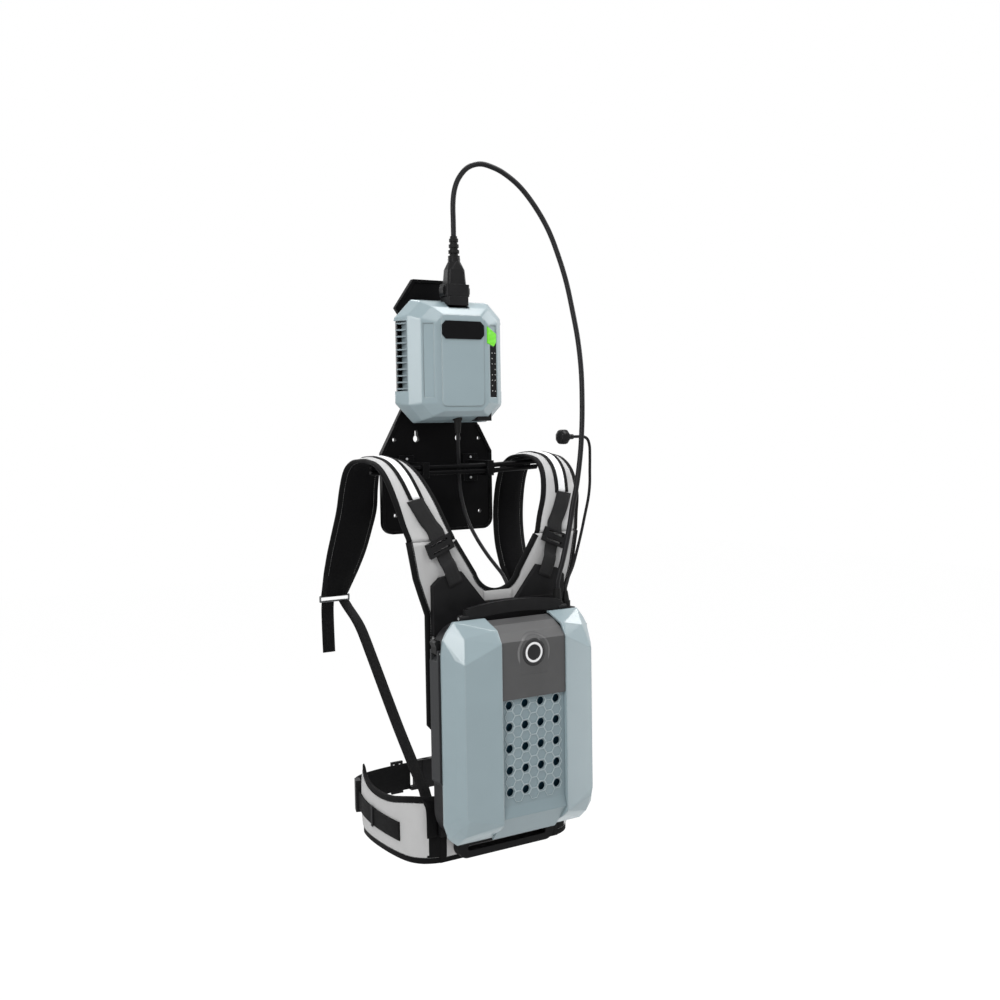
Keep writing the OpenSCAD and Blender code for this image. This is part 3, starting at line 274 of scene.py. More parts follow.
def cable(name, run, diameter, node, far_end, stiffness, *pieces_on_it):
    """A round cable in a solid's place."""
    line = bpy.data.curves.new(name, "CURVE")
    line.dimensions = "3D"
    line.bevel_depth, line.bevel_resolution = diameter / 2, 5
    line.use_fill_caps = True
    spline = line.splines.new("POLY")
    spline.points.add(len(run) - 1)
    for point, place in zip(spline.points, run):
        point.co = (*place, 1)
    spline.use_smooth = True
    line.materials.append(cord_rubber.material)
    piece = placed(name, line)
    keep(piece, "rubber_black", node)
    sum((b - a).length for a, b in zip(run, run[1:]))


charge_run = route(
    (98, 73, 232), (98, 73, 242), (103, 73, 258), (110, 73, 277), (123, 74, 322),
    (135, 77, 368), (145, 79, 402), (158, 86, 449), (168, 94, 495), (176, 103, 543),
    (182, 113, 594), (184, 124, 645), (182, 135, 693), (177, 146, 745), (168, 157, 792),
    (156, 168, 835), (138, 180, 874), (115, 191, 907), (91, 202, 929), (70, 210, 940),
    (50, 216, 944), (29, 220, 937), (13, 222, 920), (4, 223, 900), (0, 223, 875),
    (0, 223, 846), (0, 223, 820.3))
charger_run = route(
    (0, 220, 490), (0, 220, 482), (2, 223.5, 466), (7, 231, 448), (11.5, 238, 429),
    (14, 241.5, 408), (15, 239.5, 388), (17, 233, 362), (20, 221, 335), (24, 202, 309),
    (28, 178, 285), (31, 156, 267.5), (33, 137.5, 253.5), (34, 125, 237.5), (34, 121, 226),
    (34, 121, 222))
thin_run = route(
    (116, 74, 226), (116, 74, 234), (123, 77, 246), (138, 83, 265), (151, 88, 291),
    (164, 93, 320), (174, 96, 348), (183, 98, 376), (188, 100, 400), (190, 102, 424),
    (192, 104, 450), (192, 105, 466), (188, 106, 477), (178, 106, 481), (168, 106, 481),
    (158, 106, 481))
cable("charge_cable", charge_run, 0.009, "charge_cord", "plug", "stiff", "charge_plug",
      "plug_latch_left", "plug_latch_right", "plug_boot", "cord_gland")
cable("charger_cable", charger_run, 0.0065, "charger_lead", "object", "medium", "lead_outlet",
      "lead_inlet")


# ---- The thin lead's knob ----
# A moulded grip of hard black plastic with eight soft lobes, on a short neck that
# the thin lead goes into.
def bare_mesh(name, points, edges=(), faces=()):
    """A new mesh without a finish."""
    mesh = bpy.data.meshes.new(name)
    mesh.from_pydata([Vector(p) for p in points], list(edges), list(faces))
    return mesh


def turn_outwards(mesh, join=0.0):
    """Joins points that lie that close together and turns a mesh's faces outwards."""
    made = bmesh.new()
    made.from_mesh(mesh)
    if join:
        bmesh.ops.remove_doubles(made, verts=made.verts, dist=join)
    bmesh.ops.recalc_face_normals(made, faces=made.faces)
    made.to_mesh(mesh)
    made.free()


def tube_faces(rows, sides, ring=False):
    """Faces between rows of points. They close into a ring, or each end gets one face."""
    faces = []
    for row in range(rows if ring else rows - 1):
        for k in range(sides):
            a, b = row * sides + k, row * sides + (k + 1) % sides
            ahead = (row + 1) % rows * sides - row * sides
            faces.append((a, b, b + ahead, a + ahead))
    if not ring:
        faces += [tuple(range(sides))[::-1], tuple(range((rows - 1) * sides, rows * sides))]
    return faces


def spun(name, finish, start, axis, profile, sides, lobes=0, depth=0.0, ring=False):
    """A body turned about an axis, from (along, radius) pairs in millimetres, with lobes."""
    axis = Vector(axis).normalized()
    side = axis.orthogonal().normalized()
    up = axis.cross(side)
    points = []
    for along, radius in profile:
        for k in range(sides):
            angle = 2 * pi * k / sides
            reach = radius * (1 - depth * (0.5 + 0.5 * cos(lobes * angle)))
            points.append(Vector(start) + (axis * along + (side * cos(angle)
                          + up * sin(angle)) * reach) / 1000)
    mesh = bare_mesh(name, points, faces=tube_faces(len(profile), sides, ring))
    turn_outwards(mesh)
    mesh.shade_smooth()
    mesh.materials.append(finish.material)
    return placed(name, mesh)


hard_black = grained("hard_black_plastic", (0.01, 0.01, 0.0105), 0.32, 0.0007, 0.00003, 0.0007)
grip_profile = [(0, 4), (0.6, 4.4), (6, 4.6), (10, 5.4), (11.5, 6.4), (12, 8.4), (12.6, 10),
                (15, 12.2), (18, 13), (23, 13), (26, 12.4), (28.4, 11), (29.6, 8.6),
                (30, 5), (30.1, 1.5)]
keep(spun("lead_grip", hard_black, thin_run[-1], (-1, 0, 0), grip_profile, 48, 8, 0.07),
     "plastic_black", "lead_knob")
cable("thin_cable", thin_run, 0.005, "accessory_lead", "fitting", "limp", "lead_grip")


# ---- The studio ----
# A plain white floor lies well below the hanging pack. A key lamp stands above it on
# the left, weaker ones in front and on both sides, and others overhead and behind.
FLOOR_HEIGHT, FLOOR_GLOW, GLOW_SHARE = -1.35, 1.05, 0.93
SKY_LIGHT = 0.26
LAMPS_AIM = Vector((0, -0.2, -0.1))


def sees_background(tree):
    """1 for what the camera sees directly, in a gloss or through glass, and else 0."""
    seen = tree.add("LightPath", out="Is Camera Ray")
    for ray in ("Is Glossy Ray", "Is Transmission Ray"):
        seen = seen.math("MAXIMUM", tree.add("LightPath", out=ray))
    return seen


scene.view_settings.view_transform = "Standard"
scene.world = bpy.data.worlds.new("studio")
scene.world.use_nodes = True
sky = Tree(scene.world.node_tree)
backdrop = sky.tree.nodes["Background"].inputs
sky.give(backdrop, "Color", (1, 1, 1, 1))
sky.give(backdrop, "Strength", sky.add("MapRange", sees_background(sky), 0, 1, SKY_LIGHT, 1))

floor_white = Finish("floor_white", (0.9, 0.9, 0.9), 0.9)
glow = floor_white.add("Emission", (1, 1, 1, 1), FLOOR_GLOW)
paint = Amount(floor_white, floor_white.shader.outputs[0])
both = floor_white.add("MixShader", sees_background(floor_white) * GLOW_SHARE, paint, glow)
floor_white.give(floor_white.tree.nodes["Material Output"].inputs, 0, both)
corners = [(x, y, FLOOR_HEIGHT) for x, y in ((-9, -9), (9, -9), (9, 9), (-9, 9))]
floor = placed("floor", bare_mesh("floor", corners, faces=[(0, 1, 2, 3)]))
floor.data.materials.append(floor_white.material)
floor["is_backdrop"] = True

LAMPS = {"key": ((-1.8, -1.35, 1.35), (0.75, 0.75), 30),
         "front": ((0.4, -1.9, 1.75), (1.3, 0.4), 12),
         "left": ((-2.34, -1.33, 0.4), (0.6, 1.0), 17),
         "right": ((2.3, -1.05, -0.8), (0.9, 1.2), 10),
         "rim": ((2.45, -0.3, 1.05), (0.7, 0.9), 24),
         "over": ((1.0, -0.5, 2.4), (1.3, 0.9), 42),
         "behind": ((0.4, 1.2, 2.1), (0.9, 0.6), 30),
         "back": ((-0.6, 2.3, 0.5), (1.8, 1.2), 26)}
for name, (place, size, power) in LAMPS.items():
    light = bpy.data.lights.new("lamp_" + name, "AREA")
    light.shape, light.size, light.size_y, light.energy = "RECTANGLE", *size, power
    lamp = placed("lamp_" + name, light)
    lamp.location = place
    lamp.rotation_euler = (LAMPS_AIM - Vector(place)).to_track_quat("-Z", "Y").to_euler()


# ---- The holder plate, its brackets, tubes and screws ----
# A cut steel plate with a raised rim, coated in black powder, carries two folded
# brackets. They are screwed on from behind and hold the two tubes for the straps.
def dress(finish, *names):
    """Gives solids of the fixed frame their finish."""
    for name in names:
        for place in nodes[name].material_slots:
            place.material = finish.material


def powder_coat(name, roughness):
    """Black powder coat, a little dusty, worn thin here and there on its edges."""
    edge = 0.0012
    finish = Finish(name, (0.004, 0.004, 0.0043), roughness, specular=0.04)
    bare = finish.edge_wear_and_highlight(edge) * finish.noise(0.012, 3).between(0.35, 0.7)
    dust = finish.noise(0.07, 4).between(0.4, 0.8)
    coat = finish.mix(dust * 0.4, (0.003, 0.003, 0.0033), (0.009, 0.009, 0.0095))
    finish.coloured(bare * 0.55, coat, (0.08, 0.08, 0.082), dust * 0.14 + roughness)
    return finish.relief(finish.noise(0.0016, 2), 0.00006, edge)


dress(powder_coat("plate_powder_coat", 0.4), "holder_plate", "bar_brackets")
dress(powder_coat("tube_powder_coat", 0.24), "hanger_bar")


def bare_metal(name, colour, roughness):
    """Plated metal with fine rubbing marks."""
    finish = Finish(name, colour, roughness, Metallic=1.0)
    marks = finish.noise(0.0025, 4)
    finish.coloured(marks, shade(colour, 0.86), colour, marks * 0.18 + roughness)
    return finish.relief(finish.noise(0.0007, 2), 0.00002, 0.0004)


dress(bare_metal("zinc_plating", (0.55, 0.56, 0.57), 0.3), "plate_screws", "battery_screws",
      "pivot_pins")


# ---- The charger's two shells ----
# The front shell is moulded in grey-blue plastic with flat facets and a raised
# panel, the rear one in dark plastic. The side windows show a row of cooling fins.
def moulded(name, colour, roughness, edge, wear_and_highlight_share=0.3):
    """Satin plastic with a fine mould grain, slightly cloudy, paler on its edges: partly wear
    from handling, partly painted highlight.
    """
    finish = Finish(name, colour, roughness)
    cloud = finish.noise(0.08, 2)
    # All edges go paler by a share, partly wear and partly painted highlight along them.
    edge_wear_and_highlight = finish.edge_wear_and_highlight(edge)
    body = finish.mix(cloud, shade(colour, 0.95), shade(colour, 1.05))
    finish.coloured(edge_wear_and_highlight * wear_and_highlight_share, body, shade(colour, 0.6, 0.34),
                    cloud * 0.03 + edge_wear_and_highlight * -0.06 + roughness)
    return finish.relief(finish.noise(0.0006, 2), 0.000018, edge)


shell_grey = moulded("shell_grey_blue", (0.255, 0.325, 0.35), 0.25, 0.0032)
dress(shell_grey, "charger_front_shell")
dress(moulded("shell_dark", (0.03, 0.032, 0.034), 0.42, 0.0014, 0.08), "charger_rear_shell")
dress(moulded("fin_grey", (0.2, 0.25, 0.27), 0.4, 0.0006), "charger_fins")


# ---- The charger's plaque, lamp lens and display strip ----
# A glossy black plaque, left bare, lies on the panel. A green lens over the lamp and
# a smoked strip with two columns of small marks sit in the sloped face beside it.
def gloss(name, colour):
    """Polished plastic with faint smears."""
    finish = Finish(name, colour, 0.08, specular=0.07)
    smears = finish.noise(0.02, 5).between(0.4, 0.7)
    finish.coloured(smears * 0.3, colour, shade(colour, 1.3, 0.002), smears * 0.12 + 0.07)
    return finish.relief(None, 0, 0.0006)


def applied(piece):
    """A new mesh of a piece with its modifiers worked in. They are then taken off."""
    graph = bpy.context.evaluated_depsgraph_get()
    mesh = bpy.data.meshes.new_from_object(piece.evaluated_get(graph))
    piece.modifiers.clear()
    return mesh


class Recipe(Tree):
    """A tree of geometry nodes with named inputs. It makes what repeats along a base."""
    family = "GeometryNode"

    def __init__(self, name, **sizes):
        super().__init__(bpy.data.node_groups.new(name, "GeometryNodeTree"))

        def socket(label, kind, way="INPUT"):
            return self.tree.interface.new_socket(label, in_out=way,
                                                  socket_type="NodeSocket" + kind)

        socket("Base", "Geometry")
        for label, value in sizes.items():
            socket(label, "Float").default_value = value
        self.finish_slot = socket("Finish", "Material").identifier
        socket("Made", "Geometry", "OUTPUT")
        given = self.tree.nodes.new("NodeGroupInput").outputs
        self.base, *self.sizes, self.finish = [Amount(self, out) for out in given if out.name]

    def close(self, shapes, smooth_shaded=False):
        """Ends the tree: instances become mesh, and the mesh takes the finish."""
        solid = self.add("RealizeInstances", shapes)
        shaded = self.add("SetShadeSmooth", solid, None, smooth_shaded)
        done = self.add("SetMaterial", shaded, None, self.finish)
        self.give(self.tree.nodes.new("NodeGroupOutput").inputs, 0, done)

    def make(self, name, mesh, finish):
        """Runs the tree on a mesh and returns a new piece that holds the plain result."""
        base = placed(name + "_base", mesh)
        step = base.modifiers.new(name, "NODES")
        step.node_group = self.tree
        step[self.finish_slot] = finish.material
        base.update_tag()
        made = applied(base)
        bpy.data.objects.remove(base)
        made.name = name
        return placed(name, made)


dress(gloss("plaque_gloss", (0.004, 0.004, 0.0045)), "charger_badge")
dress(gloss("smoked_strip", (0.005, 0.005, 0.0055)), "charger_display_strip")
lens_green = Finish("lens_green", (0.16, 0.72, 0.02), 0.16, specular=0.12,
                    Emission_Strength=0.1)
ribs = lens_green.parts()[2].wave(0.0022)
lens_green.coloured(ribs, (0.1, 0.5, 0.012), (0.19, 0.72, 0.03))
lens_green.feed(Emission_Color=lens_green.mix(ribs, (0.1, 0.6, 0.01), (0.25, 0.9, 0.05)))
lens_green.relief(ribs, 0.00012, 0.0006)
dress(lens_green, "charger_lamp_lens")

slope = radians(20.6)
along_face = Vector((cos(slope), sin(slope), 0))
out_of_face = Vector((sin(slope), -cos(slope), 0))
marks = Recipe("marks", Size=0.0016, Thickness=0.0003)
size, thickness = marks.sizes
dot = marks.add("MeshCylinder", 10, 1, 1, size * 0.5, thickness)
aim = marks.add("FunctionNodeAlignEulerToVector", None, None, out_of_face, axis="Z")
marks.close(marks.add("InstanceOnPoints", marks.base, None, dot, Rotation=aim))
mark_white = Finish("mark_white", (0.7, 0.72, 0.7), 0.4)
mark_white.coloured(mark_white.noise(0.002), (0.6, 0.62, 0.6), (0.78, 0.8, 0.78))
top_mark, row_gap = Vector((63, 203.5, 625)) + out_of_face * 1.05, 9.2
mark_places = [at_pack(*(top_mark + along_face * across - Vector((0, 0, row * row_gap))))
               for row in range(8) for across in (-4.5, 3.5)
               if (row * 3 + (across > 0)) % 5 != 4]
keep(marks.make("display_marks", bare_mesh("mark_places", mark_places), mark_white),
     "gloss_black")


# ---- The charger's sockets, plug and boards ----
# The sockets, the inlet and the plug are black plastic, the boot and the strain
# reliefs soft rubber. Inside lie the green board and the transformer's steel core.
dress(hard_black, "charger_socket", "mains_inlet", "charge_plug", "plug_latch_left",
      "plug_latch_right")
dress(grained("soft_rubber", (0.009, 0.009, 0.009), 0.5, 0.0009, 0.00006, 0.0008), "plug_boot",
      "lead_outlet", "lead_inlet", "cord_gland")
board = Finish("board_lacquer", (0.02, 0.12, 0.05), 0.35)
tracks = board.noise(0.004, 1).between(0.48, 0.52)
board.coloured(tracks, (0.015, 0.1, 0.04), (0.04, 0.2, 0.08))
board.relief(tracks, 0.00004)
dress(board, "charger_board", "battery_board")
dress(bare_metal("core_steel", (0.25, 0.25, 0.26), 0.45), "charger_transformer")


# ---- The battery's covers ----
# The faceted front cover is the charger's grey-blue plastic and the perforated panel
# a darker shade of it. The dark control panel turns over the top between them.
dress(shell_grey, "battery_front_cover")
dress(moulded("grille_grey_blue", (0.2, 0.262, 0.285), 0.36, 0.0012), "grille_panel")
panel_dark = Finish("control_panel_satin", (0.068, 0.068, 0.069), 0.36, specular=0.3)
BUTTON = at_pack(0, 0, 148)
HOLLOW, HOLLOW_EDGE, HOLLOW_FOOT = 0.0265, 0.031, 0.034
cloud = panel_dark.noise(0.04, 3)
across, _, height = panel_dark.parts()
up = height - BUTTON.z
out = (across * across + up * up).math("SQRT")
below = (up < 0.0) * (abs(across) < HOLLOW) * (up > -HOLLOW_FOOT)
bell = 1 - (1 - out.between(HOLLOW_EDGE, HOLLOW)) * (1 - below)
# A thin pale line along the outline of the hollow around the button: painted highlight for the
# glints on its moulded edge.
rim = bell * (1 - bell) * 4
satin = panel_dark.mix(cloud, (0.06, 0.06, 0.061), (0.077, 0.077, 0.078))
panel_dark.coloured(rim * 0.45, satin, (0.2, 0.2, 0.202), cloud * 0.1 + bell * -0.08 + 0.34)
grain = panel_dark.noise(0.0007, 2) * 0.03
panel_dark.relief(grain + (1 - bell) * 0.9, 0.0022, 0.0012)
dress(panel_dark, "control_panel")


# ---- The grille's cells ----
# Fine raised outlines mould a honeycomb into the recessed grille. Every second cell
# in a row is pierced by an air hole.
comb = Recipe("honeycomb", Pitch=0.0171, Line=0.0009, Height=0.0014, Columns=7, Rows=9)
pitch, line, proud, columns, rows = comb.sizes
spread = comb.add("MeshGrid", (columns - 1) * pitch * (sqrt(3) / 2), (rows - 1) * pitch,
                  columns, rows)
odd = (comb.add("InputIndex") / rows).math("FLOOR") % 2
shift = comb.add("ShaderNodeCombineXYZ", 0, odd * pitch * -0.5, 0)
spread = comb.add("SetPosition", spread, None, None, shift)
ring = comb.add("MeshToCurve", comb.add("MeshCircle", 6, pitch / sqrt(3) - line * 0.62))
bar = comb.add("CurvePrimitiveQuadrilateral", line, proud)
cells = comb.add("InstanceOnPoints", spread, None, comb.add("CurveToMesh", ring, bar))
comb.close(comb.add("Transform", cells, Rotation=(pi / 2, 0, 0), Translation=at_pack(0, 4.3, 0)))
# The ridges are coloured paler than the grille they stand on, and paler still on their edges:
# painted highlight.
ridge_painted_highlight = moulded("cell_ridges", (0.33, 0.4, 0.425), 0.3, 0.0004, 0.5)
keep(comb.make("grille_cells", bare_mesh("grille_start", [(0, 0, 0)]), ridge_painted_highlight),
     "shell_blue")


# ---- The power button in its ring ----
# A bright plated ring holds the dark, slightly hollow button. A glossy bezel snaps
# over the ring's hole in the panel.
dress(bare_metal("ring_chrome", (0.86, 0.86, 0.87), 0.12), "button_ring")
dress(grained("button_plastic", (0.022, 0.022, 0.023), 0.3, 0.0006, 0.00003, 0.0008),
      "power_button", "button_switch")
bezel_profile = [(-0.6, 16.3), (0.6, 16.3), (1.3, 16.7), (1.6, 17.6), (1.4, 19), (0.8, 20.6),
                 (0, 21.6), (-0.6, 21.8)]
bezel_black = gloss("bezel_gloss", (0.035, 0.035, 0.036))
keep(spun("button_bezel", bezel_black, BUTTON, (0, -1, 0), bezel_profile, 64, ring=True),
     "gloss_black")


# ---- The battery's rear case and cells ----
# The rear case is dark plastic with a coarse grain. The cells inside wear a blue
# shrink sleeve and stand between two holders.
dress(grained("case_grained", (0.014, 0.014, 0.015), 0.46, 0.0011, 0.00009, 0.0018),
      "battery_rear_case")
# The sleeve's blue is darkened well below its own colour, as painted shade for the air holes that
# show it.
sleeve = Finish("cell_sleeve", (0.025, 0.1, 0.16), 0.3)
HOLDERS_MEET = -0.215
bands = sleeve.parts()[1].between(HOLDERS_MEET - 0.001, HOLDERS_MEET + 0.001)
sleeve.coloured(bands, (0.025, 0.1, 0.16), (0.6, 0.61, 0.62))
sleeve.relief(sleeve.noise(0.006), 0.0001)
dress(sleeve, "cell_blocks")


# ---- The carrying handle and its lugs ----
# An arched band of tough black plastic, to carry the battery by. It turns on two steel
# pins in lugs that stand on the rear case.
dress(hard_black, "carry_handle", "handle_brackets")


# ---- The carrier: plate, side rails, latch levers and foot ----
# The battery stands on the foot of a black glass-filled plate. Dark rails guide its
# sides, and a sprung lever at the top of each rail holds it down.
dress(grained("carrier_black", (0.008, 0.008, 0.0085), 0.44, 0.0014, 0.0001, 0.0015),
      "carrier_frame", "bottom_foot")
dress(grained("rail_grey", (0.03, 0.031, 0.033), 0.4, 0.0012, 0.00007, 0.0012), "side_rails")
dress(hard_black, "latch_lever_left", "latch_lever_right")


# ---- The harness's back panel ----
# Grey woven cloth over thin foam, quilted flat, with a U-shaped neckline and a bare
# patch below it. A black binding is folded over its whole edge and stitched through.
def on_cloth(finish):
    """The coordinates along and across a piece's own cloth map, in metres."""
    return finish.parts(finish.add("UVMap", uv_map="cloth"))[:2]


def woven(name, colour, thread, depth, tone, sheen=0.0):
    """Plain-woven cloth, its threads that far darker and paler than the colour."""
    finish = Finish(name, colour, 0.78, Sheen_Weight=sheen, Sheen_Roughness=0.5,
                    specular=0.08)
    warp, weft = on_cloth(finish)
    threads = (warp.wave(thread) - 0.5) * (weft.wave(thread) - 0.5) * 2 + 0.5
    soil = finish.noise(0.09, 4).between(0.3, 0.75)
    base = finish.mix(threads, shade(colour, 1 - tone), shade(colour, 1 + tone))
    finish.coloured(soil * 0.22, base, shade(colour, 0.72), finish.noise(0.0024, 2) * 0.14 + 0.7)
    return finish.relief(threads * 0.12 + finish.noise(0.016, 2), depth)


grey_cloth = woven("grey_cloth", (0.5, 0.5, 0.5), 0.0011, 0.0012, 0.12, 0.1)
binding_cloth = woven("binding_cloth", (0.005, 0.005, 0.0053), 0.0009, 0.0006, 0.3)
black_cloth = woven("black_cloth", (0.006, 0.006, 0.0064), 0.0012, 0.0012, 0.3)
thread_black = grained("thread_black", (0.02, 0.02, 0.021), 0.6, 0.0006, 0.00002)
thread_grey = grained("thread_grey", (0.2, 0.2, 0.2), 0.6, 0.0006, 0.00002)


def spacer_mesh(name, colour):
    """Thick knitted mesh with rows of small open holes."""
    finish = Finish(name, colour, 0.85, specular=0.04)
    along, across = on_cloth(finish)
    holes = (along.wave(0.0034) * across.wave(0.0026)).between(0.62, 0.85)
    finish.coloured(holes, colour, shade(colour, 0.3), finish.noise(0.004) * 0.12 + 0.76)
    return finish.relief(1 - holes + finish.noise(0.02) * 0.6, 0.0007)


lining_mesh = spacer_mesh("lining_mesh", (0.006, 0.006, 0.0064))


def lay_cloth(mesh, cloth):
    """Maps cloth on a mesh, from a place in metres for each point."""
    layer = mesh.uv_layers.new(name="cloth")
    for loop in mesh.loops:
        layer.data[loop.index].uv = cloth[loop.vertex_index]


def shell_mesh(name, points, faces, finishes, kinds, cloth):
    """A cloth piece with its finish for each face and its map in metres for each point."""
    mesh = bare_mesh(name, points, faces=faces)
    for finish in finishes:
        mesh.materials.append(finish.material)
    for face, kind in zip(mesh.polygons, kinds):
        face.material_index, face.use_smooth = kind, True
    lay_cloth(mesh, cloth)
    turn_outwards(mesh)
    return placed(name, mesh)


def swept(name, rings, widths, finishes, kinds=None):
    """A closed skin over rings of points, with each point's place across the cloth.
    kinds gives the finish of each side of a ring."""
    count = len(rings[0])
    kinds = kinds or [0] * count
    points, cloth, along = [], [], 0.0
    for i, ring in enumerate(rings):
        if i:
            along += (sum(ring, Vector()) - sum(rings[i - 1], Vector())).length / count
        points += ring
        cloth += [(along, w) for w in widths[i]]
    return shell_mesh(name, points, tube_faces(len(rings), count), finishes,
                      kinds * (len(rings) - 1) + [kinds[0]] * 2, cloth)


def headings(run):
    """The direction of a run at each of its points."""
    return [(b - a).normalized() for a, b in zip(run[:1] + run[:-1], run[1:] + run[-1:])]


def frames(run, across):
    """The side and outward directions along a run of a band that keeps its side."""
    across = Vector(across).normalized()
    result = []
    for ahead in headings(run):
        flat = (ahead - across * ahead.dot(across)).normalized()
        result.append((across, flat.cross(across)))
    return result


PANEL_SIDE = [(8, 112), (30, 133), (205, 133), (234, 143), (264, 153), (322, 164)]
PANEL_FOOT, PANEL_FRONT, PANEL_MIDDLE, PANEL_REAR = 8, 102.5, 106.3, 110.1
NECK_SIDE = [(266, 40), (322, 76)]
NECK_FOOT, NECK_CENTRE, NECK_RADIUS = 237, 279, 42
COLUMNS, FAR, BINDING_HALF = 16, 99, 3.7


def on_line(line, value):
    """The height of a line of (place, height) pairs at a place."""
    for (a, low), (b, high) in zip(line, line[1:]):
        if value <= b:
            return low + (high - low) * (value - a) / (b - a)
    return line[-1][1]


def neckline(z):
    """How far from the middle the panel starts at a height."""
    if z <= NECK_FOOT:
        return 0.0
    if z < NECK_SIDE[0][0]:
        return sqrt(NECK_RADIUS ** 2 - (z - NECK_CENTRE) ** 2)
    return on_line(NECK_SIDE, z)


levels = [PANEL_FOOT + k * 6 for k in range(38)]
levels += [232, NECK_FOOT, 237.6, 239, 241, 244, 248, 253, 259]
levels += [266 + k * 7 for k in range(9)]
quilted, panel_faces, panel_kinds = [], [], []
for side in (-1, 1):
    for z in levels:
        low, high = neckline(z), on_line(PANEL_SIDE, z)
        for k in range(COLUMNS + 1):
            x = low + (high - low) * k / COLUMNS
            edge = min(high - x, x - low if z > NECK_FOOT else FAR, z - PANEL_FOOT,
                       hypot(x, z - NECK_CENTRE) - NECK_RADIUS if z < NECK_CENTRE else FAR)
            thin = 2.6 * (1 - min(max(edge, 0) / 16, 1) ** 0.5)
            ripple = 0.1 * noise.noise(Vector((side * x, z, 3)) / 24)
            quilted.append((side * x, z, thin - ripple))
front = [at_pack(x, PANEL_FRONT + inset, z) for x, z, inset in quilted]
back = [at_pack(x, PANEL_REAR - inset, z) for x, z, inset in quilted]
half, width = len(quilted), COLUMNS + 1
for start in (0, len(levels) * width):
    rims = []
    for row, z in enumerate(levels[:-1]):
        corner = start + row * width
        for k in range(corner, corner + COLUMNS):
            quad = [k, k + 1, k + 1 + width, k + width]
            panel_faces += [quad, [i + half for i in quad]]
            panel_kinds += [0, 1]
        rims.append((corner + COLUMNS, corner + COLUMNS + width))
        if z >= NECK_FOOT:
            rims.append((corner, corner + width))
    for corner in (start, start + (len(levels) - 1) * width):
        rims += [(k, k + 1) for k in range(corner, corner + COLUMNS)]
    panel_faces += [[a, b, b + half, a + half] for a, b in rims]
    panel_kinds += [2] * len(rims)
back_panel = shell_mesh("back_panel", front + back, panel_faces,
                        [grey_cloth, black_cloth, binding_cloth], panel_kinds,
                        [(x / 1000, z / 1000) for x, z, _ in quilted] * 2)
turn_outwards(back_panel.data, 1e-6)
keep(back_panel, "fabric_grey", "harness_back")


def inwards(outline, side):
    """Each (x, z) of an outline with its direction inwards. side is 1 or -1."""
    for (x, z), ahead in zip(outline, headings([Vector(p) for p in outline])):
        yield x, z, Vector((-ahead.y, ahead.x)) * side


def edge_binding(name, outline, side, wide):
    """Binding tape folded over an edge that lies in X and Z."""
    fold = [(0.9, 0), (0.5, 0.75), (-0.6, 1), (0.6 - wide, 1), (-wide, 0.8), (-wide - 0.2, 0.3)]
    fold += [(reach, -proud) for reach, proud in fold[:0:-1]]
    rings = []
    for x, z, inner in inwards(outline, side):
        spots = [(Vector((x, z)) - inner * reach, proud) for reach, proud in fold]
        rings.append([at_pack(spot.x, PANEL_MIDDLE + proud * BINDING_HALF, spot.y)
                      for spot, proud in spots])
    around = [k * 0.0014 for k in range(len(fold))]
    keep(swept(name, rings, [around] * len(rings), [binding_cloth]), "fabric_black",
         "harness_back")


stitch = Recipe("stitching", Step=0.0042, Length=0.003, Thread=0.0007)
gap, length, thread = stitch.sizes
seam_line = stitch.add("MeshToCurve", stitch.base)
seam_line = stitch.add("ResampleCurve", seam_line, Length=gap, mode="LENGTH")
lie = stitch.add("FunctionNodeAlignEulerToVector", None, None, stitch.add("InputTangent"),
                 axis="Z")
shape = stitch.add("ShaderNodeCombineXYZ", thread, thread, length)
bead = stitch.add("Transform", stitch.add("MeshUVSphere", 6, 4, 0.5), Scale=shape)
stitch.close(stitch.add("InstanceOnPoints", seam_line, None, bead, Rotation=lie), True)


def sewn(name, lines, thread):
    """Rows of stitches along lines of points."""
    points, edges = [], []
    for line in lines:
        edges += [(len(points) + i, len(points) + i + 1) for i in range(len(line) - 1)]
        points += line
    keep(stitch.make(name, bare_mesh(name + "_lines", points, edges), thread), "fabric_black")


neck_arc = [(NECK_RADIUS * cos(radians(a)),
             NECK_CENTRE + NECK_RADIUS * sin(radians(a))) for a in range(-18, -163, -6)]
neck_edge = [(76, 322), (58, 294)] + neck_arc + [(-58, 294), (-76, 322)]
side_edge = [(164, 322), (158.5, 293), (153, 264), (148, 249), (143, 234), (138, 220),
             (133, 205), (133, 150), (133, 90), (133, 30), (124, 20), (112, 8.5), (60, 8.5),
             (0, 8.5)]
panel_seams = []
for name, outline, side, wide in (("neck_binding", neck_edge, 1, 8),
                                  ("side_binding_right", side_edge, -1, 9),
                                  ("side_binding_left", [(-x, z) for x, z in side_edge], 1, 9)):
    edge_binding(name, outline, side, wide)
    for face_y in (PANEL_FRONT + 0.05, PANEL_REAR - 0.05):
        panel_seams.append([at_pack(x + inner.x * 7, face_y, z + inner.y * 7)
                            for x, z, inner in inwards(outline, side)])
sewn("panel_stitches", panel_seams, thread_grey)

patch_ring = [(101.6, 216), (101.2, 217), (101.2, 234), (101.6, 235), (102.6, 235), (102.6, 216)]
patch_rings = [[at_pack(x, y, z) for y, z in patch_ring] for x in (-27, -26, -13, 0, 13, 26, 27)]
keep(swept("neck_patch", patch_rings, [[k * 0.004 for k in range(6)]] * 7, [grey_cloth]),
     "fabric_grey")


# ---- The back pad and the lumbar pad ----
# Foam pads under black knitted mesh, sewn to the wearer's side of the harness, with
# two or three sewn channels from end to end.
pad_mesh = spacer_mesh("pad_mesh", (0.024, 0.024, 0.025))
SLIMMED = (0.965, 0.72, 0.955)
VOXEL, PRESSURE, FRAMES, SEAM_WIDTH = 0.005, 4, 20, 0.0045


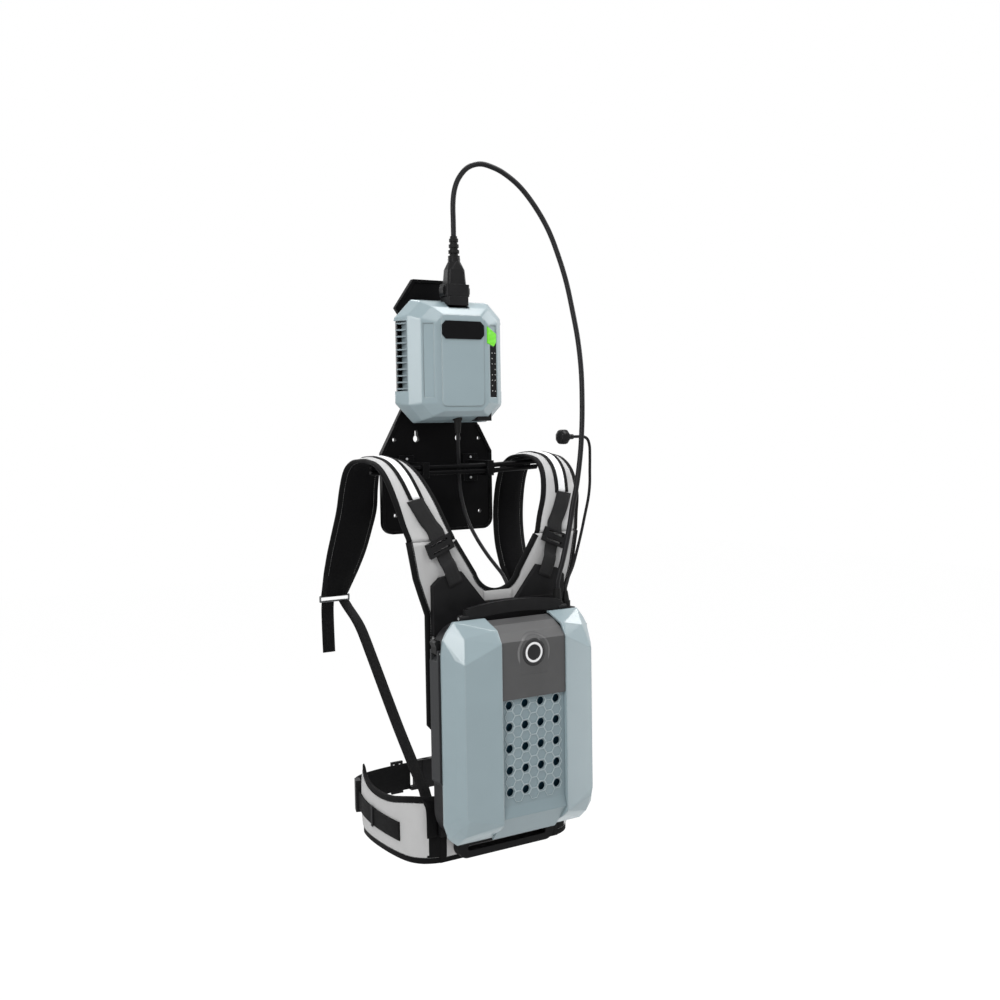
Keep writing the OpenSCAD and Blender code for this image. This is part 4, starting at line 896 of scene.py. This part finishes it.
def cushion(name, node, seat, cap, channels, groove):
    """A stuffed pad in a solid's place. seat is how far its flat side lies inside it."""
    low, high = (Vector(c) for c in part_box(node))
    middle = (low + high) / 2
    flat = low.y + seat
    pad = placed(name, nodes[node].data.copy())
    pad.data.materials.clear()
    turn_outwards(pad.data, 1e-5)
    for point in pad.data.vertices:
        for axis, share in enumerate(SLIMMED):
            anchor = low.y if axis == 1 else middle[axis]
            point.co[axis] = anchor + (point.co[axis] - anchor) * share
        point.co.y += seat
    remesh = pad.modifiers.new("remesh", "REMESH")
    remesh.mode, remesh.voxel_size = "VOXEL", VOXEL
    pad.data = applied(pad)
    still = [i for i, p in enumerate(pad.data.vertices) if p.co.y < flat + 0.003]
    pad.vertex_groups.new(name="held").add(still, 1.0, "REPLACE")
    cloth = pad.modifiers.new("cloth", "CLOTH")
    cloth.settings.use_pressure = True
    cloth.settings.uniform_pressure_force = PRESSURE
    cloth.settings.effector_weights.gravity = 0
    cloth.settings.vertex_group_mass = "held"
    cloth.settings.quality = 5
    cloth.point_cache.frame_start, cloth.point_cache.frame_end = 1, FRAMES
    for step in range(1, FRAMES + 1):
        scene.frame_set(step)
    swollen = applied(pad)
    for point, end in zip(pad.data.vertices, swollen.vertices):
        move = end.co - point.co
        if move.length > cap:
            move *= cap / move.length
        point.co += move
        point.co.y = max(point.co.y, flat + 0.0002)
    scene.frame_set(1)
    soft = pad.modifiers.new("soften", "SUBSURF")
    soft.levels = soft.render_levels = 1
    pad.data = applied(pad)
    reach = (high.x - low.x) / 2
    for point in pad.data.vertices:
        lift = (point.co.y - low.y) / (high.y - low.y)
        if lift > 0.3:
            for share in channels:
                gap = abs(point.co.x - middle.x - share * reach)
                point.co.y -= groove * exp(-(gap / SEAM_WIDTH) ** 2) * min(lift, 1)
        point.co.y = min(point.co.y, high.y + 0.001)
    lay_cloth(pad.data, [(point.co.x, point.co.z) for point in pad.data.vertices])
    pad.data.materials.append(pad_mesh.material)
    pad.data.shade_smooth()
    keep(pad, "fabric_black", node)


cushion("back_cushion", "back_pad", 0, 0.007, (-0.36, 0.36), 0.0045)
cushion("lumbar_cushion", "lumbar_pad", 0.0045, 0.007, (-0.5, 0, 0.5), 0.005)


# ---- The shoulder straps ----
# Foam straps with grey cloth outside and black knitted mesh inside, their edges
# folded into black binding. They run from the yoke over the tubes and down behind.
BAND_THICK, SEWN_ON, SEWN_STEPS, STRAP_STEPS = 11.6, 7.7, 12, 6


def padded_band(name, run, wides, thick, across, bind, node, first=None):
    """A padded strap along a run: crowned faces between flat bound edges. first is the
    thickness that it starts with where it is sewn on."""
    sides = frames(run, across)
    rings, widths = [], []
    for i, (spot, (side, face)) in enumerate(zip(run, sides)):
        half = wides[i] / 2
        crown = thick / 2 * (0.62, 0.86, 1.0)[min(i, len(run) - 1 - i, 2)]
        if first and i < SEWN_STEPS:
            crown = (first + (thick - first) * i / SEWN_STEPS) / 2
        wrinkle = 0.35 * noise.noise(spot * 38)
        outer = [(0, 0), (0.5, 0.3), (1.8, 0.46), (bind - 1.2, 0.5), (bind, 0.44),
                 (bind + 1.2, 0.56), (bind + 4, 0.76), (half * 0.5, 0.93), (half * 0.75, 0.99)]
        outer = [(x - half, y) for x, y in outer]
        outer += [(0, 1.0)] + [(-x, y) for x, y in outer[:0:-1]]
        section = outer + [(half, 0)] + [(x, -y) for x, y in outer[:0:-1]]
        ring, width = [], []
        for x, y in section:
            puff = crown * y + (wrinkle if abs(x) < half - bind - 2 else 0)
            puff = max(min(puff, thick / 2 - 0.05), 0.05 - thick / 2)
            ring.append(at_pack(*(spot + side * x - face * puff)))
            width.append((x if y >= 0 else x + 300) / 1000)
        rings.append(ring)
        widths.append(width)
    kinds = []
    for (x, y), (next_x, next_y) in zip(section, section[1:] + section[:1]):
        bound = abs(x + next_x) / 2 > half - bind - 0.1
        kinds.append(2 if bound else 0 if y + next_y > 0 else 1)
    piece = swept(name, rings, widths, [grey_cloth, lining_mesh, binding_cloth], kinds)
    keep(piece, "fabric_grey", node)
    inner = list(zip(run, sides, wides))[1:-1]
    sewn(name + "_stitches",
         [[at_pack(*(spot + side * share * (wide / 2 - bind + 0.6) + face * back * thick * 0.235))
           for spot, (side, face), wide in inner] for share in (-1, 1) for back in (-1, 1)],
         thread_grey)


YOKE = [(120, 106.3, 322.3), (121.5, 106.3, 327), (129, 113, 350), (140, 121, 385),
        (149, 141, 420)]
STRAPS = {
    "left": [(154, 168, 440.5), (156, 200, 447.6), (156, 225, 448.2), (156, 252, 444.5),
             (154, 277, 430), (151, 296, 400), (148, 312, 362), (146, 336, 325),
             (144, 364, 285), (142, 394, 246), (138, 431.6, 202)],
    "right": [(153, 168, 440.5), (154, 200, 447.6), (153, 225, 448.2), (151, 250, 443.5),
              (149, 271, 428), (148, 284, 400), (147, 291, 362), (146, 291, 324),
              (145, 284, 286), (143, 268, 250), (139.5, 239.2, 210.2)]}
YOKE_WIDTHS = [88, 87, 84, 78, 70, 64, 62, 62]
WIDTHS = {"left": [64, 68, 72, 76, 76, 74, 66, 52], "right": [62, 62, 63, 64, 64, 64, 62, 52]}
SIDES = {"left": -1, "right": 1}
strap_runs = {}


def on_side(side, run):
    """A run that is given for the right, or its mirror image for the left."""
    return [(side * x, y, z) for x, y, z in run]


for label, side in SIDES.items():
    strap_runs[label] = straight_ended(on_side(side, YOKE + STRAPS[label]), STRAP_STEPS)
    wides = [p.x for p in straight_ended([(w, 0, 0) for w in YOKE_WIDTHS + WIDTHS[label]],
                                         STRAP_STEPS)]
    padded_band(label + "_shoulder_strap", strap_runs[label], wides, BAND_THICK, (1, 0, 0), 9,
                "shoulder_strap_" + label, SEWN_ON)


# ---- The webbing and the reflective tape on the straps ----
# Black polyester webbing is sewn along the crest of each strap with a white
# reflective tape on it. In front it comes free as the load lifter, through a lock.
def webbing_finish(name, colour):
    """Webbing woven in small chevrons."""
    finish = Finish(name, colour, 0.62, specular=0.07)
    along, across = on_cloth(finish)
    ribs = (along + abs(((across / 0.006) % 1) - 0.5) * 0.003).wave(0.0017)
    finish.coloured(ribs, shade(colour, 0.7), shade(colour, 1.25),
                    finish.noise(0.003) * 0.16 + 0.55)
    return finish.relief(ribs + finish.noise(0.01) * 0.3, 0.0003)


webbing_grey = webbing_finish("webbing_dark_grey", (0.02, 0.02, 0.0205))
webbing_black = webbing_finish("webbing_black", (0.005, 0.005, 0.0053))
reflective = Finish("reflective_tape", (0.86, 0.87, 0.88), 0.32)
bead_x, bead_y = on_cloth(reflective)
beads = bead_x.wave(0.0012) * bead_y.wave(0.0012)
reflective.coloured(beads, (0.78, 0.79, 0.8), (0.92, 0.93, 0.94), beads * 0.2 + 0.25)
reflective.relief(beads, 0.0001)


def tape(name, run, wide, across, finish, *replaced, slot="webbing_black", thick=2.0, lift=0.0):
    """Flat webbing along a run, which keeps its width along one direction."""
    under = [(-1, -0.4), (-0.97, -1), (-0.5, -1), (0, -1), (0.5, -1), (0.97, -1), (1, -0.4)]
    section = under + [(-x, -y) for x, y in under]
    rings = [[at_pack(*(spot + side * x * wide / 2 + face * (y * thick / 2 - lift)))
              for x, y in section] for spot, (side, face) in zip(run, frames(run, across))]
    around = [(x * wide / 2 + (100 if y > 0 else 0)) / 1000 for x, y in section]
    keep(swept(name, rings, [around] * len(rings), [finish]), slot, *replaced)


CREST, ON_STRAP = slice(13, 66), 7.3
strap_middle = straight_ended(YOKE + STRAPS["right"], 2)
middle_frames = frames(strap_middle, (1, 0, 0))
lifter_run = [strap_middle[i] + Vector((aside, 0, 0)) - middle_frames[i][1] * ON_STRAP
              for i, aside in ((5, 4), (4, 0), (3, -4), (2, -9))] + [(112, 97.4, 323)]
tail_run = [(106.5, 97, 307), (103.5, 97, 299), (100, 95, 290), (96, 90.7, 280), (85, 90.7, 252)]
for label, side in SIDES.items():
    tape(label + "_lifter", smooth(on_side(side, lifter_run), 5), 29, (0.98, 0, -0.2 * side),
         webbing_grey, "lifter_webbing")
    tape(label + "_lifter_tail", smooth(on_side(side, tail_run), 5), 25,
         (0.93, 0, -0.37 * side), webbing_grey, "lifter_webbing")
    crest = strap_runs[label][CREST]
    tape(label + "_crest_webbing", crest, 27, (1, 0, 0), webbing_black, thick=1.2, lift=6.2)
    tape(label + "_reflective_tape", crest[:-1], 13, (1, 0, 0), reflective, slot="fabric_grey",
         thick=0.5, lift=7.05)
    sewn(label + "_crest_stitches",
         [[at_pack(*(spot + across * x - face * 6.9))
           for spot, (across, face) in zip(crest, frames(crest, (1, 0, 0)))]
          for x in (-11.5, 11.5, -7.6, 7.6)], thread_black)
dress(hard_black, "ladder_locks")


# ---- The wire rings and the lower webbing ----
# A bent steel ring at the end of each strap takes the narrow webbing that runs down
# to the hip belt. The left one lets a loose end hang.
dress(bare_metal("ring_steel", (0.17, 0.175, 0.18), 0.3), "strap_rings")
TO_BELT = [(129, 131, -78), (130.8, 119, -90), (130.8, 105.5, -100), (130.8, 102, -112),
           (130.8, 101, -150)]
LOWER_RUNS = {
    "left_lower_webbing": [
        (119, 432, 189.4), (120, 414, 180), (121, 365, 152), (122, 316, 102), (123, 271, 53),
        (124, 226, 5), (126, 184, -34), (128, 154, -60)] + TO_BELT,
    "right_lower_webbing": [
        (121, 237, 197.4), (121, 225, 182), (122, 205, 140), (123, 192, 100), (124, 180, 50),
        (125, 168, 0), (127, 148, -50)] + TO_BELT,
    "left_hanging_tail": [
        (150, 434, 189.4), (150, 436, 176), (149, 438, 150), (148, 439, 120), (147, 440, 98)]}
for name, run in LOWER_RUNS.items():
    side, wide = SIDES[name.split("_")[0]], 24 if "tail" in name else 20
    tape(name, smooth(on_side(side, run), 5), wide, (1, 0, 0), webbing_black, "lower_webbing")


# ---- The hip belt's wings ----
# Two padded wings reach forward from a band behind the lumbar pad, grey outside and
# black mesh inside. Black binding covers the joints, and webbing is sewn along each.
spine_run = [Vector((115 - k * 11.5, 105.4, -142)) for k in range(21)]
padded_band("belt_spine", spine_run, [109] * 21, 5.6, (0, 0, 1), 9, "lumbar_pad")
WING_LINE = [(112.3, 108.3), (123, 111), (138, 119.5), (149, 134), (155, 155), (158, 185),
             (158.5, 222), (156.5, 260), (152, 290), (146, 312)]
WING_TOP = [-87, -87, -87, -88, -92, -98, -101, -99, -91, -77]
WING_FOOT, JOINT = -197, (0.103, 0.134)
WEBBING_Z = [-150, -150, -150, -150, -149, -148, -147, -145, -143, -141]
SLIDER, slider_turn = Vector((149.5, 330)), radians(110)
slider_reach = Vector((cos(slider_turn), sin(slider_turn))) * 9.8
for label, side in SIDES.items():
    wing_run = smooth([(side * x, y, (z + WING_FOOT) / 2)
                       for (x, y), z in zip(WING_LINE, WING_TOP)], 6)
    talls = [p.x for p in smooth([(z - WING_FOOT, 0, 0) for z in WING_TOP], 6)]
    padded_band(label + "_hip_wing", wing_run, talls, BAND_THICK, (0, 0, -side), 11,
                "belt_wing_" + label)
    wing_middle = smooth([(side * x, y, z) for (x, y), z in zip(WING_LINE, WEBBING_Z)], 2)
    wing_frames = frames(wing_middle, (0, 0, -side))
    x, y = SLIDER - slider_reach
    webbing = smooth([wing_middle[i] - wing_frames[i][1] * ON_STRAP for i in range(8, 18)]
                     + [(side * x, y, WEBBING_Z[-1])], 3)
    tape(label + "_wing_webbing", webbing, 31, (0, 0, 1), webbing_black, "belt_webbing")
    held, ahead = webbing[len(webbing) // 2:len(webbing) // 2 + 2]
    along = (ahead - held).normalized()
    outward = Vector((side * abs(along.y), -abs(along.x), 0))
    loop = [held + outward * 1.9 + Vector((0, 0, z)) for z in (-17.5, -9, 0, 9, 17.5)]
    tape(label + "_webbing_keeper", loop, 6, along, thread_black)
for name in ("belt_spine", "left_hip_wing", "right_hip_wing"):
    for face in bpy.data.objects[name].data.polygons:
        if JOINT[0] < abs(face.center.x) < JOINT[1]:
            face.material_index = 2


# ---- The belt's front webbing, sliders and buckle ----
# Wide webbing runs from the sliders to a side release buckle, whose plug springs two
# squeeze arms out of slots in the socket. All of these are tough black plastic.
x, y = SLIDER + slider_reach
FROM_SLIDER = [(x, y, -137), (140, 357, -139), (119, 379, -142)]
TO_BUCKLE = {"left": [(88, 397, -145), (52, 406, -146), (26, 408, -146), (4, 408, -146)],
             "right": [(90, 396, -145), (70, 404, -146), (54.3, 407.5, -146)]}
for label, side in SIDES.items():
    tape("belt_front_" + label, smooth(on_side(side, FROM_SLIDER + TO_BUCKLE[label]), 5), 50,
         (0, 0, 1), webbing_black, "belt_webbing")
dress(hard_black, "belt_sliders", "buckle_socket", "buckle_plug", "buckle_arm_left",
      "buckle_arm_right")


# ---- The sizes ----
# The solids' own box and the box with every piece in it, both in metres.
size = {"cad_box": [list(c) for c in cad_box], "box": [list(c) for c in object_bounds()]}
